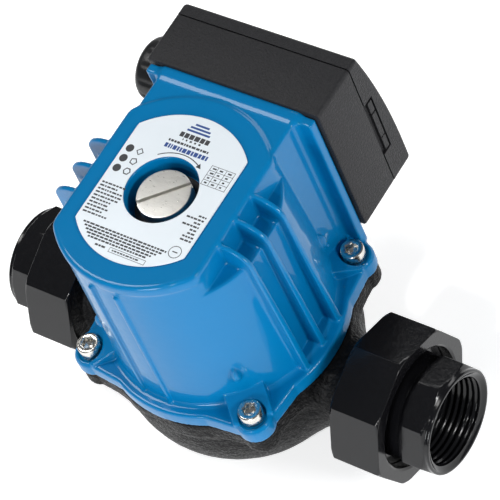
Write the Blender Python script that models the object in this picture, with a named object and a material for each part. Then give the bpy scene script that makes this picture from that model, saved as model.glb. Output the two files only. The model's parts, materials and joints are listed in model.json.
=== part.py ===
"""Wet-rotor circulator pump with screwed unions, built as separate pieces. Metres, +Z up.

The origin is the centre of the volute's flat base, on the motor axis. +Z runs along the motor
axis to the vent plug, +X along the pipe to the outlet, and +Y towards the terminal box.
"""
import math

import bmesh
import bpy
from mathutils import Matrix

GAP = 0.0003

# Pipe line and unions, measured from the motor axis along the pipe
PIPE_HEIGHT = 0.033
PORT_FACE = 0.065
PORT_THREAD_START = 0.0575
PORT_THREAD_RADIUS = 0.0237
PORT_BORE_RADIUS = 0.013
NECK_RADIUS = 0.0168
UNION_END = 0.091
NUT_BACK = 0.0565
NUT_FRONT = 0.076
NUT_CORNER_RADIUS = 0.029
NUT_BORE_RADIUS = 0.0241
NUT_LIP_START = 0.0713
NUT_LIP_RADIUS = 0.0222
COLLAR_RADIUS = 0.0234
TAIL_BORE_RADIUS = 0.014
TAIL_THREAD_RADIUS = 0.0163
TAIL_THREAD_START = 0.0763
TAIL_RIM_RADIUS = 0.0192
TAIL_CORNER_RADIUS = 0.0209

# Bolting flange shared by the volute and the motor housing
FLANGE_RADIUS = 0.0457
EAR_RADIUS = 0.0068
SCREW_OFFSET = 0.03465
EAR_HALF_ANGLE = math.radians(75)
FLANGE_ARC_HALF_ANGLE = math.radians(24)
VOLUTE_FLANGE_BOTTOM = 0.041
VOLUTE_TOP = 0.0487
HOUSING_BOTTOM = VOLUTE_TOP + GAP
FLANGE_TOP = 0.055

# Volute chamber
CHAMBER_RADIUS = 0.033
CHAMBER_FLOOR = 0.032
GASKET_LEDGE = 0.045
LEDGE_RADIUS = 0.0393
EYE_CHANNEL_RADIUS = 0.012
INLET_CHANNEL_HALF_WIDTH = 0.008

# Motor housing
HOUSING_FOOT_RADIUS = 0.041
HOUSING_TOP_RADIUS = 0.0382
HOUSING_INNER_RADIUS = 0.036
END_FACE = 0.126
END_HALF_WIDTH = 0.02975
SHELF_HEIGHT = 0.118
SHELF_REACH = 0.0393
SHELF_THICKNESS = 0.005
BOSS_HALF_WIDTH = 0.0071
BOSS_INNER = 0.0362
BOSS_OUTER = 0.0505
BOSS_TOP = 0.0570
COUNTERBORE_RADIUS = 0.0050
SCREW_SEAT = 0.0548
RIDGE_ANGLES = (-100.5, -84.5)
RIDGE_THICKNESS = 0.0016
PLUG_SLOT_ANGLE = 44.0
RECESS_RADIUS = 0.013
RECESS_FLOOR = 0.116
FIN_SPACING = 0.0104
FIN_THICKNESS = 0.003
FIN_FOOT_REACH = 0.043
FIN_TOP_REACH = 0.0405
NECK_HALF_WIDTH = 0.028
PAD_FACE = 0.044
PAD_BACK = 0.0405
PAD_HALF_WIDTH = 0.034
PAD_BOTTOM = 0.063
WIRE_HOLE_RADIUS = 0.006
WIRE_HOLE_HEIGHT = 0.096

# Rotor and stator
SHAFT_RADIUS = 0.0045
BUSH_BORE = SHAFT_RADIUS + GAP
ROTOR_RADIUS = 0.0185
CAN_INNER_RADIUS = 0.0194
CAN_OUTER_RADIUS = 0.0204
STATOR_BORE = CAN_OUTER_RADIUS + GAP
STATOR_RADIUS = 0.0355
IMPELLER_RADIUS = 0.031
BLADE_COUNT = 6
CAN_BOSS_RADIUS = 0.0108
PLUG_THREAD_RADIUS = 0.007
PLUG_HEAD_RADIUS = 0.0097
PLUG_BORE_RADIUS = 0.0046
PLUG_TOP = 0.1241

# Label
LABEL_RADIUS = 0.030
LABEL_HALF_WIDTH = 0.0224
LABEL_HOLE_RADIUS = 0.0132
LABEL_THICKNESS = 0.0004

# Terminal box
BOX_HALF_WIDTH = 0.0355
BOX_BOTTOM = 0.061
BOX_TOP = 0.1265
BOX_BACK = PAD_FACE + GAP
BOX_SEAM = 0.0643
BOX_WALL = 0.0022
COVER_FRONT = 0.075
COVER_TOP_FRONT = 0.0695
COVER_SLOPE_START = 0.093
KNOB_HEIGHT = 0.083
KNOB_RADIUS = 0.009
KNOB_FRONT = 0.0785
COVER_SCREW_HEIGHT = 0.111
BOX_SCREW_PLACES = ((-0.024, 0.118), (0.024, 0.0660))
EARTH_SCREW_PLACE = (-0.014, 0.118)

# Cable gland
GLAND_Y = 0.0555
GLAND_Z = 0.100
GLAND_THREAD_RADIUS = 0.0070
GLAND_BORE_RADIUS = 0.0050
LOCKNUT_CORNER_RADIUS = 0.0099
GLAND_CORNER_RADIUS = 0.012
GLAND_END = 0.0505
CABLE_HOLE_RADIUS = 0.0036

LARGE_SEGMENTS = 40
MEDIUM_SEGMENTS = 28
INNER_SEGMENTS = 24
SMALL_SEGMENTS = 16

# Finish: colour, roughness, metallic
FINISHES = {
    "cast_iron": ((0.015, 0.015, 0.016), 0.40, 0.4),
    "black_metal": ((0.010, 0.010, 0.011), 0.18, 0.5),
    "blue_paint": ((0.002, 0.250, 0.660), 0.22, 0.0),
    "stainless": ((0.55, 0.55, 0.55), 0.30, 1.0),
    "zinc_steel": ((0.62, 0.61, 0.58), 0.28, 1.0),
    "nickel": ((0.50, 0.48, 0.45), 0.35, 1.0),
    "laminated_steel": ((0.20, 0.20, 0.21), 0.50, 1.0),
    "copper": ((0.65, 0.27, 0.12), 0.40, 1.0),
    "ceramic": ((0.85, 0.84, 0.80), 0.30, 0.0),
    "black_rubber": ((0.012, 0.012, 0.012), 0.75, 0.0),
    "charcoal_plastic": ((0.030, 0.031, 0.034), 0.60, 0.0),
    "cream_plastic": ((0.75, 0.73, 0.66), 0.45, 0.0),
    "label_film": ((0.78, 0.79, 0.81), 0.35, 0.1),
}


def clear_scene():
    """Remove every object that the file starts with."""
    for thing in list(bpy.data.objects):
        bpy.data.objects.remove(thing, do_unlink=True)


def make_material(name, finish):
    """Principled material for one piece."""
    colour, roughness, metallic = FINISHES[finish]
    material = bpy.data.materials.new(name + "_finish")
    material.use_nodes = True
    shader = material.node_tree.nodes["Principled BSDF"]
    shader.inputs["Base Color"].default_value = (*colour, 1.0)
    shader.inputs["Roughness"].default_value = roughness
    shader.inputs["Metallic"].default_value = metallic
    material.diffuse_color = (*colour, 1.0)
    return material


def piece(name, mesh, finish, parent=None):
    """Link a mesh as a named piece with its own material."""
    mesh.name = name
    mesh.shade_smooth()
    mesh.set_sharp_from_angle(angle=math.radians(35))
    mesh.materials.append(make_material(name, finish))
    thing = bpy.data.objects.new(name, mesh)
    thing.parent = parent
    bpy.context.scene.collection.objects.link(thing)
    return thing


def tool(name, mesh, parent=None):
    """Link a mesh as a hidden cutter or addition for a Boolean."""
    thing = bpy.data.objects.new(name, mesh)
    thing.parent = parent
    thing.hide_render = True
    thing.display_type = "WIRE"
    bpy.context.scene.collection.objects.link(thing)
    return thing


def boolean(target, other, operation, solver="EXACT"):
    """Add a Boolean modifier that uses another object."""
    modifier = target.modifiers.new(other.name, "BOOLEAN")
    modifier.solver = solver
    modifier.operation = operation
    modifier.object = other


def weld(target):
    """Close hairline seams that the Booleans leave."""
    modifier = target.modifiers.new("weld", "WELD")
    modifier.merge_threshold = 0.00002


def cut(target, other):
    """Subtract a tool from a piece."""
    boolean(target, other, "DIFFERENCE")


def fuse(target, other, solver="EXACT"):
    """Add a tool to a piece."""
    boolean(target, other, "UNION", solver)


def axis_empty(name, location, rotation):
    """Empty whose local +Z is the axis of the pieces parented to it."""
    empty = bpy.data.objects.new(name, None)
    empty.empty_display_size = 0.02
    empty.location = location
    empty.rotation_euler = rotation
    bpy.context.scene.collection.objects.link(empty)
    return empty


def as_mesh(bm):
    """Turn a bmesh into a mesh with its faces pointing out."""
    bmesh.ops.recalc_face_normals(bm, faces=bm.faces)
    mesh = bpy.data.meshes.new("shape")
    bm.to_mesh(mesh)
    bm.free()
    return mesh


def arc(radius, start, end, steps, centre=(0.0, 0.0)):
    """Points along an arc, both ends included."""
    points = []
    for step in range(steps + 1):
        angle = start + (end - start) * step / steps
        points.append((centre[0] + radius * math.cos(angle), centre[1] + radius * math.sin(angle)))
    return points


def circle(radius, segments, centre=(0.0, 0.0)):
    """Points round a full circle."""
    return arc(radius, 0.0, math.tau, segments, centre)[:-1]


def bridge(bm, ring, following):
    """Close the band between two rings, either of which may be a single point on the axis."""
    count = max(len(ring), len(following))
    if count == 1:
        return
    for index in range(count):
        after = (index + 1) % count
        corners = []
        for vertex in (ring[index % len(ring)], ring[after % len(ring)],
                       following[after % len(following)], following[index % len(following)]):
            if vertex not in corners:
                corners.append(vertex)
        bm.faces.new(corners)


def turned(outline, segments=INNER_SEGMENTS, matrix=None):
    """Shape turned about Z from a closed outline of (radius, height) points."""
    bm = bmesh.new()
    rings = []
    for radius, height in outline:
        if radius == 0.0:
            rings.append([bm.verts.new((0.0, 0.0, height))])
        else:
            rings.append([bm.verts.new((x, y, height)) for x, y in circle(radius, segments)])
    for ring, following in zip(rings, rings[1:] + rings[:1]):
        bridge(bm, ring, following)
    if matrix:
        bm.transform(matrix)
    return as_mesh(bm)


def rod(radius, low, high, segments=INNER_SEGMENTS, matrix=None):
    """Plain cylinder about Z."""
    return turned([(0.0, low), (radius, low), (radius, high), (0.0, high)], segments, matrix)


def tube(inner, outer, low, high, segments=INNER_SEGMENTS):
    """Plain ring about Z."""
    return turned([(inner, low), (outer, low), (outer, high), (inner, high)], segments)


def add_prism(bm, outline, low, high):
    """Add a closed prism of a flat outline between two heights to a bmesh."""
    bottom = [bm.verts.new((x, y, low)) for x, y in outline]
    top = [bm.verts.new((x, y, high)) for x, y in outline]
    bm.faces.new(bottom)
    bm.faces.new(top)
    bridge(bm, bottom, top)


def prism(outline, low, high, matrix=None):
    """Closed prism of a flat outline."""
    bm = bmesh.new()
    add_prism(bm, outline, low, high)
    if matrix:
        bm.transform(matrix)
    return as_mesh(bm)


def prisms(outlines, low, high, matrix=None):
    """Several separate prisms in one mesh."""
    bm = bmesh.new()
    for outline in outlines:
        add_prism(bm, outline, low, high)
    if matrix:
        bm.transform(matrix)
    return as_mesh(bm)


def block(low, high):
    """Box between two corners."""
    outline = [(low[0], low[1]), (high[0], low[1]), (high[0], high[1]), (low[0], high[1])]
    return prism(outline, low[2], high[2])


def plate_with_hole(outer, inner, low, high):
    """Flat plate between an outer and an inner outline that have the same number of points."""
    bm = bmesh.new()
    rings = []
    for outline, height in ((outer, low), (outer, high), (inner, high), (inner, low)):
        rings.append([bm.verts.new((x, y, height)) for x, y in outline])
    for ring, following in zip(rings, rings[1:] + rings[:1]):
        bridge(bm, ring, following)
    return as_mesh(bm)


def upright(plane):
    """Matrix that stands a flat outline up: its heights run along X for 'YZ' and along Y for 'XZ'."""
    if plane == "YZ":
        return Matrix(((0, 0, 1, 0), (1, 0, 0, 0), (0, 1, 0, 0), (0, 0, 0, 1)))
    return Matrix(((1, 0, 0, 0), (0, 0, 1, 0), (0, 1, 0, 0), (0, 0, 0, 1)))


def screw_places():
    """Centres of the four flange screws."""
    return [(sx * SCREW_OFFSET, sy * SCREW_OFFSET) for sx, sy in ((-1, -1), (1, -1), (1, 1), (-1, 1))]


def flange_outline(growth=0.0):
    """Round flange with four rounded ears."""
    points = []
    for quarter in range(4):
        middle = quarter * math.pi / 2
        points += arc(FLANGE_RADIUS + growth, middle - FLANGE_ARC_HALF_ANGLE,
                      middle + FLANGE_ARC_HALF_ANGLE, 6)
        diagonal = middle + math.pi / 4
        distance = SCREW_OFFSET * math.sqrt(2)
        centre = (distance * math.cos(diagonal), distance * math.sin(diagonal))
        points += arc(EAR_RADIUS + growth, diagonal - EAR_HALF_ANGLE, diagonal + EAR_HALF_ANGLE, 6, centre)
    return points


def port_neck(side):
    """Neck of one port: it rises from the casing's lower half to the pipe axis and ends in the thread."""
    stations = [(0.0280, 0.0290, 0.0185), (0.0380, 0.0300, 0.0175), (0.0460, 0.0318, 0.0162),
                (0.0500, PIPE_HEIGHT, NECK_RADIUS), (0.0560, PIPE_HEIGHT, NECK_RADIUS),
                (PORT_THREAD_START, PIPE_HEIGHT, PORT_THREAD_RADIUS),
                (PORT_FACE, PIPE_HEIGHT, PORT_THREAD_RADIUS)]
    bm = bmesh.new()
    rings = []
    for reach, height, radius in stations:
        points = circle(radius, MEDIUM_SEGMENTS, (0.0, height))
        rings.append([bm.verts.new((side * reach, y, z)) for y, z in points])
    for ring, following in zip(rings, rings[1:]):
        bridge(bm, ring, following)
    bm.faces.new(rings[0])
    bm.faces.new(rings[-1])
    return as_mesh(bm)


def make_volute(outlet_axis, inlet_axis):
    """Cast casing with its chamber, ports, flange and screw holes."""
    body = [(0.0, 0.0), (0.0250, 0.0), (0.0285, 0.0015), (0.0350, 0.0090), (0.0420, 0.0200),
            (0.0446, 0.0300), (0.0448, 0.0450), (0.0, 0.0450)]
    volute = piece("volute_casing", turned(body, LARGE_SEGMENTS), "cast_iron")
    fuse(volute, tool("volute_flange", prism(flange_outline(-0.0005), VOLUTE_FLANGE_BOTTOM, VOLUTE_TOP)))
    for name, side in (("outlet_neck", 1), ("inlet_neck", -1)):
        fuse(volute, tool(name, port_neck(side)))
    chamber = [(0.0, CHAMBER_FLOOR), (CHAMBER_RADIUS, CHAMBER_FLOOR), (CHAMBER_RADIUS, GASKET_LEDGE),
               (LEDGE_RADIUS, GASKET_LEDGE), (LEDGE_RADIUS, 0.050), (0.0, 0.050)]
    cut(volute, tool("chamber", turned(chamber, LARGE_SEGMENTS)))
    cut(volute, tool("eye_channel", rod(EYE_CHANNEL_RADIUS, 0.006, 0.0335, SMALL_SEGMENTS)))
    slope = [(-0.0460, 0.0195), (0.0010, 0.0065), (0.0010, 0.0240), (-0.0330, 0.0300), (-0.0460, 0.0340)]
    cut(volute, tool("inlet_channel", prism(slope, -INLET_CHANNEL_HALF_WIDTH, INLET_CHANNEL_HALF_WIDTH,
                                            upright("XZ"))))
    cut(volute, tool("inlet_bore", rod(PORT_BORE_RADIUS, 0.0385, 0.0665, INNER_SEGMENTS), inlet_axis))
    cut(volute, tool("outlet_bore", rod(PORT_BORE_RADIUS, 0.0280, 0.0665, INNER_SEGMENTS), outlet_axis))
    holes = [circle(0.0028, 12, place) for place in screw_places()]
    cut(volute, tool("volute_screw_holes", prisms(holes, 0.0425, 0.0500)))
    weld(volute)


def make_union(side, axis):
    """Gasket, tailpiece and union nut of one port, along the given axis."""
    piece(side + "_union_gasket", tube(0.0150, 0.0220, 0.0653, 0.0670), "black_rubber", axis)
    outline = [(0.0, 0.0673), (COLLAR_RADIUS, 0.0673), (COLLAR_RADIUS, 0.0710), (0.0185, 0.0710),
               (0.0185, 0.0780), (TAIL_RIM_RADIUS, 0.0785), (TAIL_RIM_RADIUS, UNION_END - 0.0008),
               (TAIL_RIM_RADIUS - 0.0008, UNION_END), (0.0, UNION_END)]
    tail = piece(side + "_tailpiece", turned(outline, MEDIUM_SEGMENTS), "black_metal", axis)
    octagon = [(0.0, 0.0790), (TAIL_CORNER_RADIUS, 0.0790), (TAIL_CORNER_RADIUS, 0.0885), (0.0, 0.0885)]
    fuse(tail, tool(side + "_tail_octagon", turned(octagon, 8), axis))
    bore = [(0.0, 0.0660), (TAIL_BORE_RADIUS, 0.0660), (TAIL_BORE_RADIUS, TAIL_THREAD_START),
            (TAIL_THREAD_RADIUS, TAIL_THREAD_START), (TAIL_THREAD_RADIUS, UNION_END - 0.0007),
            (TAIL_THREAD_RADIUS + 0.0007, UNION_END), (TAIL_THREAD_RADIUS + 0.0007, 0.0920), (0.0, 0.0920)]
    cut(tail, tool(side + "_tail_bore", turned(bore, MEDIUM_SEGMENTS), axis))
    block_outline = [(0.0, NUT_BACK), (NUT_CORNER_RADIUS, NUT_BACK), (NUT_CORNER_RADIUS, NUT_FRONT),
                     (0.0, NUT_FRONT)]
    nut = piece(side + "_union_nut", turned(block_outline, 8), "black_metal", axis)
    inside = [(0.0, 0.0550), (NUT_BORE_RADIUS, 0.0550), (NUT_BORE_RADIUS, NUT_LIP_START),
              (NUT_LIP_RADIUS, NUT_LIP_START), (NUT_LIP_RADIUS, 0.0770), (0.0, 0.0770)]
    cut(nut, tool(side + "_nut_bore", turned(inside, MEDIUM_SEGMENTS), axis))


def make_wet_side(rotor_axis):
    """Gasket, bearing plate, bushes, can and the turning rotor with its impeller."""
    piece("volute_gasket", tube(0.0355, 0.0386, 0.0453, 0.0467), "black_rubber")
    plate = [(0.0063, 0.0445), (0.0100, 0.0445), (0.0100, 0.0470), (0.0388, 0.0470), (0.0388, 0.0487),
             (0.0100, 0.0487), (0.0100, 0.0540), (0.0063, 0.0540)]
    piece("bearing_plate", turned(plate), "stainless")
    piece("front_bearing", tube(BUSH_BORE, 0.0060, 0.0448, 0.0537, SMALL_SEGMENTS), "ceramic")
    piece("rear_bearing", tube(BUSH_BORE, 0.0075, 0.1015, 0.1080, SMALL_SEGMENTS), "ceramic")
    piece("rear_bearing_holder", tube(0.0078, 0.0191, 0.1030, 0.1065), "stainless")
    can = [(CAN_INNER_RADIUS, 0.0490), (0.0310, 0.0490), (0.0310, 0.0500), (CAN_OUTER_RADIUS, 0.0500),
           (CAN_OUTER_RADIUS, 0.1100), (CAN_BOSS_RADIUS, 0.1100), (CAN_BOSS_RADIUS, 0.1157),
           (PLUG_THREAD_RADIUS + GAP, 0.1157), (PLUG_THREAD_RADIUS + GAP, 0.1090),
           (CAN_INNER_RADIUS, 0.1090)]
    piece("rotor_can", turned(can), "stainless")
    piece("shaft", rod(SHAFT_RADIUS, 0.0335, 0.1085, SMALL_SEGMENTS), "ceramic", rotor_axis)
    piece("rotor_core", tube(BUSH_BORE, ROTOR_RADIUS, 0.0620, 0.0980), "stainless", rotor_axis)
    make_impeller(rotor_axis)


def make_impeller(rotor_axis):
    """Closed impeller: hub and back shroud, curved blades, front shroud with its eye ring."""
    back = [(BUSH_BORE, 0.0345), (0.0075, 0.0345), (0.0080, 0.0415), (IMPELLER_RADIUS, 0.0415),
            (IMPELLER_RADIUS, 0.0428), (0.0080, 0.0428), (0.0080, 0.0440), (BUSH_BORE, 0.0440)]
    impeller = piece("impeller", turned(back), "cream_plastic", rotor_axis)
    thickness = 0.0018
    blades = []
    for number in range(BLADE_COUNT):
        lead = math.tau * number / BLADE_COUNT
        inner_side = []
        outer_side = []
        for step in range(5):
            share = step / 4
            radius = 0.0115 + (IMPELLER_RADIUS - 0.0125) * share
            angle = lead - math.radians(70) * share
            half = thickness / (2 * radius)
            inner_side.append((radius * math.cos(angle - half), radius * math.sin(angle - half)))
            outer_side.append((radius * math.cos(angle + half), radius * math.sin(angle + half)))
        blades.append(inner_side + outer_side[::-1])
    fuse(impeller, tool("blades", prisms(blades, 0.0350, 0.0420), rotor_axis))
    front = [(0.0100, 0.0325), (0.0115, 0.0325), (0.0118, 0.0340), (IMPELLER_RADIUS - 0.0002, 0.0340),
             (IMPELLER_RADIUS - 0.0002, 0.0355), (0.0100, 0.0355)]
    fuse(impeller, tool("front_shroud", turned(front), rotor_axis))


def make_stator():
    """Laminated core with an end winding on each side."""
    piece("stator_core", tube(STATOR_BORE, STATOR_RADIUS, 0.0620, 0.0980), "laminated_steel")
    for name, low, high in (("front_winding", 0.0530, 0.0617), ("rear_winding", 0.0983, 0.1065)):
        edge = 0.002
        outline = [(0.0225, low), (0.0320, low), (0.0320 + edge, low + edge), (0.0320 + edge, high - edge),
                   (0.0320, high), (0.0225, high)]
        piece(name, turned(outline), "copper")


def fin_outline():
    """Side view of one cooling fin as (reach, height), from the flange to the end face."""
    top_rise = 0.0080
    start = 0.1250 - top_rise
    points = [(0.0372, 0.0540), (FIN_FOOT_REACH, 0.0540), (FIN_TOP_REACH, start)]
    inner = 0.0290
    for step in range(1, 6):
        angle = math.pi / 2 * step / 5
        reach = inner + (FIN_TOP_REACH - inner) * math.cos(angle)
        points.append((reach, start + top_rise * math.sin(angle)))
    return points + [(0.0285, 0.1250), (0.0285, 0.1165), (0.0372, 0.1115)]


def screw_bosses():
    """Square bosses round the flange screws, turned to face outwards."""
    outlines = []
    for quarter in range(4):
        diagonal = quarter * math.pi / 2 + math.pi / 4
        along = (math.cos(diagonal), math.sin(diagonal))
        across = (-along[1], along[0])
        corners = []
        for reach, width in ((BOSS_INNER, -1), (BOSS_OUTER, -1), (BOSS_OUTER, 1), (BOSS_INNER, 1)):
            side = width * BOSS_HALF_WIDTH
            corners.append((along[0] * reach + across[0] * side, along[1] * reach + across[1] * side))
        outlines.append(corners)
    return outlines


def ridge(angle):
    """Low upright ridge on the drum at an angle round the motor axis."""
    side_view = [(0.0372, 0.0545), (0.0418, 0.0545), (0.0392, 0.1180), (0.0372, 0.1180)]
    bm = bmesh.new()
    add_prism(bm, side_view, -RIDGE_THICKNESS / 2, RIDGE_THICKNESS / 2)
    bm.transform(Matrix.Rotation(math.radians(angle), 4, "Z") @ upright("XZ"))
    return as_mesh(bm)


def make_housing():
    """Die-cast motor housing: drafted drum, side flats, fins, box pad, flange and vent recess."""
    edge = 0.0025
    drum_bottom = HOUSING_BOTTOM + 0.0020
    drum = [(HOUSING_FOOT_RADIUS, drum_bottom), (HOUSING_TOP_RADIUS, END_FACE - edge),
            (HOUSING_TOP_RADIUS - 0.3 * edge, END_FACE - 0.3 * edge), (HOUSING_TOP_RADIUS - edge, END_FACE),
            (RECESS_RADIUS, END_FACE), (RECESS_RADIUS, RECESS_FLOOR), (0.0112, RECESS_FLOOR),
            (0.0112, 0.1130), (0.0155, 0.1130), (0.0155, 0.1225), (0.0255, 0.1225), (0.0265, 0.1130),
            (HOUSING_INNER_RADIUS, 0.1090), (HOUSING_INNER_RADIUS, drum_bottom)]
    housing = piece("motor_housing", turned(drum, LARGE_SEGMENTS), "blue_paint")
    reach = 0.060
    for side in (-1, 1):
        near, far = sorted((side * END_HALF_WIDTH, side * reach))
        name = "flat_left" if side < 0 else "flat_right"
        cut(housing, tool(name, block((near, -reach, SHELF_HEIGHT), (far, reach, END_FACE + 0.004))))
    opening = [point_at(HOUSING_INNER_RADIUS + 0.0007, point) for point in flange_outline()]
    ring = plate_with_hole(flange_outline(), opening, HOUSING_BOTTOM, FLANGE_TOP)
    fuse(housing, tool("housing_flange", ring))
    fins = []
    for place in (-1, 0, 1):
        middle = place * FIN_SPACING
        for side in (-1, 1):
            fins.append((middle, [(side * x, z) for x, z in fin_outline()]))
    bm = bmesh.new()
    for middle, outline in fins:
        add_prism(bm, outline, middle - FIN_THICKNESS / 2, middle + FIN_THICKNESS / 2)
    bm.transform(upright("XZ"))
    fuse(housing, tool("fins", as_mesh(bm)), "MANIFOLD")
    shelf_low = SHELF_HEIGHT - SHELF_THICKNESS
    shelf_high = SHELF_HEIGHT - 0.0002
    for side in (-1, 1):
        near, far = sorted((side * 0.0340, side * SHELF_REACH))
        name = "shelf_left" if side < 0 else "shelf_right"
        fuse(housing, tool(name, block((near, -FIN_SPACING, shelf_low), (far, FIN_SPACING, shelf_high))))
    for number, angle in enumerate(RIDGE_ANGLES, 1):
        fuse(housing, tool("ridge_%d" % number, ridge(angle)))
    fuse(housing, tool("screw_bosses", prisms(screw_bosses(), 0.0545, BOSS_TOP)))
    half_angle = math.acos(NECK_HALF_WIDTH / 0.0370)
    saddle = arc(0.0370, half_angle, math.pi - half_angle, 12)
    saddle += [(-NECK_HALF_WIDTH, 0.0410), (NECK_HALF_WIDTH, 0.0410)]
    fuse(housing, tool("box_saddle", prism(saddle, 0.0545, END_FACE - 0.0001)))
    pad = block((-PAD_HALF_WIDTH, PAD_BACK, PAD_BOTTOM), (PAD_HALF_WIDTH, PAD_FACE, END_FACE + 0.0002))
    fuse(housing, tool("box_pad", pad))
    holes = [circle(0.0028, 12, place) for place in screw_places()]
    cut(housing, tool("housing_screw_holes", prisms(holes, 0.0480, 0.0560)))
    sinks = [circle(COUNTERBORE_RADIUS, 16, place) for place in screw_places()]
    cut(housing, tool("screw_sinks", prisms(sinks, SCREW_SEAT, BOSS_TOP + 0.001)))
    wires = [circle(WIRE_HOLE_RADIUS, 16, (0.0, WIRE_HOLE_HEIGHT))]
    wires += [circle(0.0023, 10, place) for place in BOX_SCREW_PLACES]
    cut(housing, tool("pad_holes", prisms(wires, 0.0340, 0.0450, upright("XZ"))))
    weld(housing)


def point_at(radius, point):
    """Point at a given radius in the direction of another point."""
    length = math.hypot(*point)
    return (point[0] * radius / length, point[1] * radius / length)


def socket_screw(name, place, length):
    """Cap screw with a hexagon socket, standing on the flange."""
    seat = SCREW_SEAT + GAP
    head = 0.0050
    outline = [(0.0, seat - length), (0.0025, seat - length), (0.0025, seat), (0.00425, seat),
               (0.00425, seat + head - 0.0004), (0.00385, seat + head), (0.0, seat + head)]
    screw = piece(name, turned(outline, SMALL_SEGMENTS), "zinc_steel")
    screw.location = (*place, 0.0)
    socket = tool(name + "_socket", rod(0.0023, seat + 0.0022, seat + head + 0.001, 6), screw)
    cut(screw, socket)


def slotted_screw(name, finish, axis, shank_radius, head_radius, seat, length, head, slot, turn=0.0):
    """Screw with a straight slot; it lies along the axis, head outwards, on the seat distance."""
    outline = [(0.0, seat - length), (shank_radius, seat - length), (shank_radius, seat),
               (head_radius, seat), (head_radius, seat + head), (0.0, seat + head)]
    screw = piece(name, turned(outline, SMALL_SEGMENTS), finish, axis)
    reach = head_radius * 1.2
    top = seat + head
    groove = block((-reach, -slot / 2, top - min(head * 0.5, 0.0016)), (reach, slot / 2, top + 0.001))
    groove.transform(Matrix.Rotation(math.radians(turn), 4, "Z"))
    cut(screw, tool(name + "_slot", groove, axis))
    weld(screw)
    return screw


def make_vent():
    """Bleed plug, its seal and the label round it."""
    piece("vent_seal", tube(PLUG_THREAD_RADIUS + GAP, 0.0122, 0.1163, 0.1178), "black_rubber")
    seat = 0.1181
    plug = slotted_screw("vent_plug", "nickel", None, PLUG_THREAD_RADIUS, PLUG_HEAD_RADIUS, seat, 0.0080,
                         PLUG_TOP - seat, 0.0018, PLUG_SLOT_ANGLE)
    cut(plug, tool("plug_bore", rod(PLUG_BORE_RADIUS, 0.1090, PLUG_TOP - 0.0038, SMALL_SEGMENTS)))
    steps = 40
    outer = []
    for x, y in circle(LABEL_RADIUS, steps):
        outer.append((max(-LABEL_HALF_WIDTH, min(LABEL_HALF_WIDTH, x)), y))
    inner = [point_at(LABEL_HOLE_RADIUS, point) for point in outer]
    low = END_FACE + GAP
    piece("label_plate", plate_with_hole(outer, inner, low, low + LABEL_THICKNESS), "label_film")


def box_axis(name, x, z):
    """Empty whose local +Z points along +Y, out of the terminal box."""
    return axis_empty(name, (x, 0.0, z), (math.radians(-90), 0.0, 0.0))


def make_box_base():
    """Open terminal box with its cover-screw post and holes."""
    base = piece("terminal_box_base", block((-BOX_HALF_WIDTH, BOX_BACK, BOX_BOTTOM),
                                            (BOX_HALF_WIDTH, BOX_SEAM, BOX_TOP)), "charcoal_plastic")
    inside = block((-BOX_HALF_WIDTH + BOX_WALL, BOX_BACK + BOX_WALL, BOX_BOTTOM + BOX_WALL),
                   (BOX_HALF_WIDTH - BOX_WALL, BOX_SEAM + 0.001, BOX_TOP - BOX_WALL))
    cut(base, tool("box_inside", inside))
    post_outline = circle(0.0040, 16, (0.0, COVER_SCREW_HEIGHT))
    fuse(base, tool("cover_screw_post", prism(post_outline, BOX_BACK + 0.001, 0.0635, upright("XZ"))))
    cut(base, tool("post_hole", prism(circle(0.0023, 12, (0.0, COVER_SCREW_HEIGHT)), 0.0500, 0.0650,
                                      upright("XZ"))))
    holes = [circle(WIRE_HOLE_RADIUS, 16, (0.0, WIRE_HOLE_HEIGHT))]
    holes += [circle(0.0023, 10, place) for place in BOX_SCREW_PLACES]
    cut(base, tool("floor_holes", prisms(holes, 0.0435, 0.0475, upright("XZ"))))
    gland_hole = prism(circle(GLAND_THREAD_RADIUS + GAP, 20, (GLAND_Y, GLAND_Z)), -0.0370, -0.0320,
                       upright("YZ"))
    cut(base, tool("gland_hole", gland_hole))


def cover_outline(inset=0.0, back=BOX_SEAM + GAP):
    """Side view of the cover as (depth, height), smaller by the inset."""
    top = BOX_TOP - inset
    slope_start = COVER_SLOPE_START
    return [(back, BOX_BOTTOM + inset), (COVER_FRONT - inset, BOX_BOTTOM + inset),
            (COVER_FRONT - inset, slope_start), (COVER_TOP_FRONT - inset, top), (back, top)]


def make_box_cover():
    """Hollow cover with the knob opening and a sunk seat for its screw."""
    outer = prism(cover_outline(), -BOX_HALF_WIDTH, BOX_HALF_WIDTH, upright("YZ"))
    cover = piece("terminal_box_cover", outer, "charcoal_plastic")
    inner = prism(cover_outline(BOX_WALL, BOX_SEAM - 0.002), -BOX_HALF_WIDTH + BOX_WALL,
                  BOX_HALF_WIDTH - BOX_WALL, upright("YZ"))
    cut(cover, tool("cover_inside", inner))
    seat = circle(0.0050, 20, (0.0, COVER_SCREW_HEIGHT))
    fuse(cover, tool("cover_screw_seat", prism(seat, 0.0660, 0.0708, upright("XZ"))))
    cut(cover, tool("cover_screw_sink", prism(circle(0.0038, 16, (0.0, COVER_SCREW_HEIGHT)), 0.0695, 0.0780,
                                              upright("XZ"))))
    cut(cover, tool("cover_screw_hole", prism(circle(0.0023, 12, (0.0, COVER_SCREW_HEIGHT)), 0.0650, 0.0700,
                                              upright("XZ"))))
    knob_outline = circle(KNOB_RADIUS + 0.0006, 24, (0.0, KNOB_HEIGHT))
    cut(cover, tool("knob_opening", prism(knob_outline, 0.0710, 0.0780, upright("XZ"))))


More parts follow.
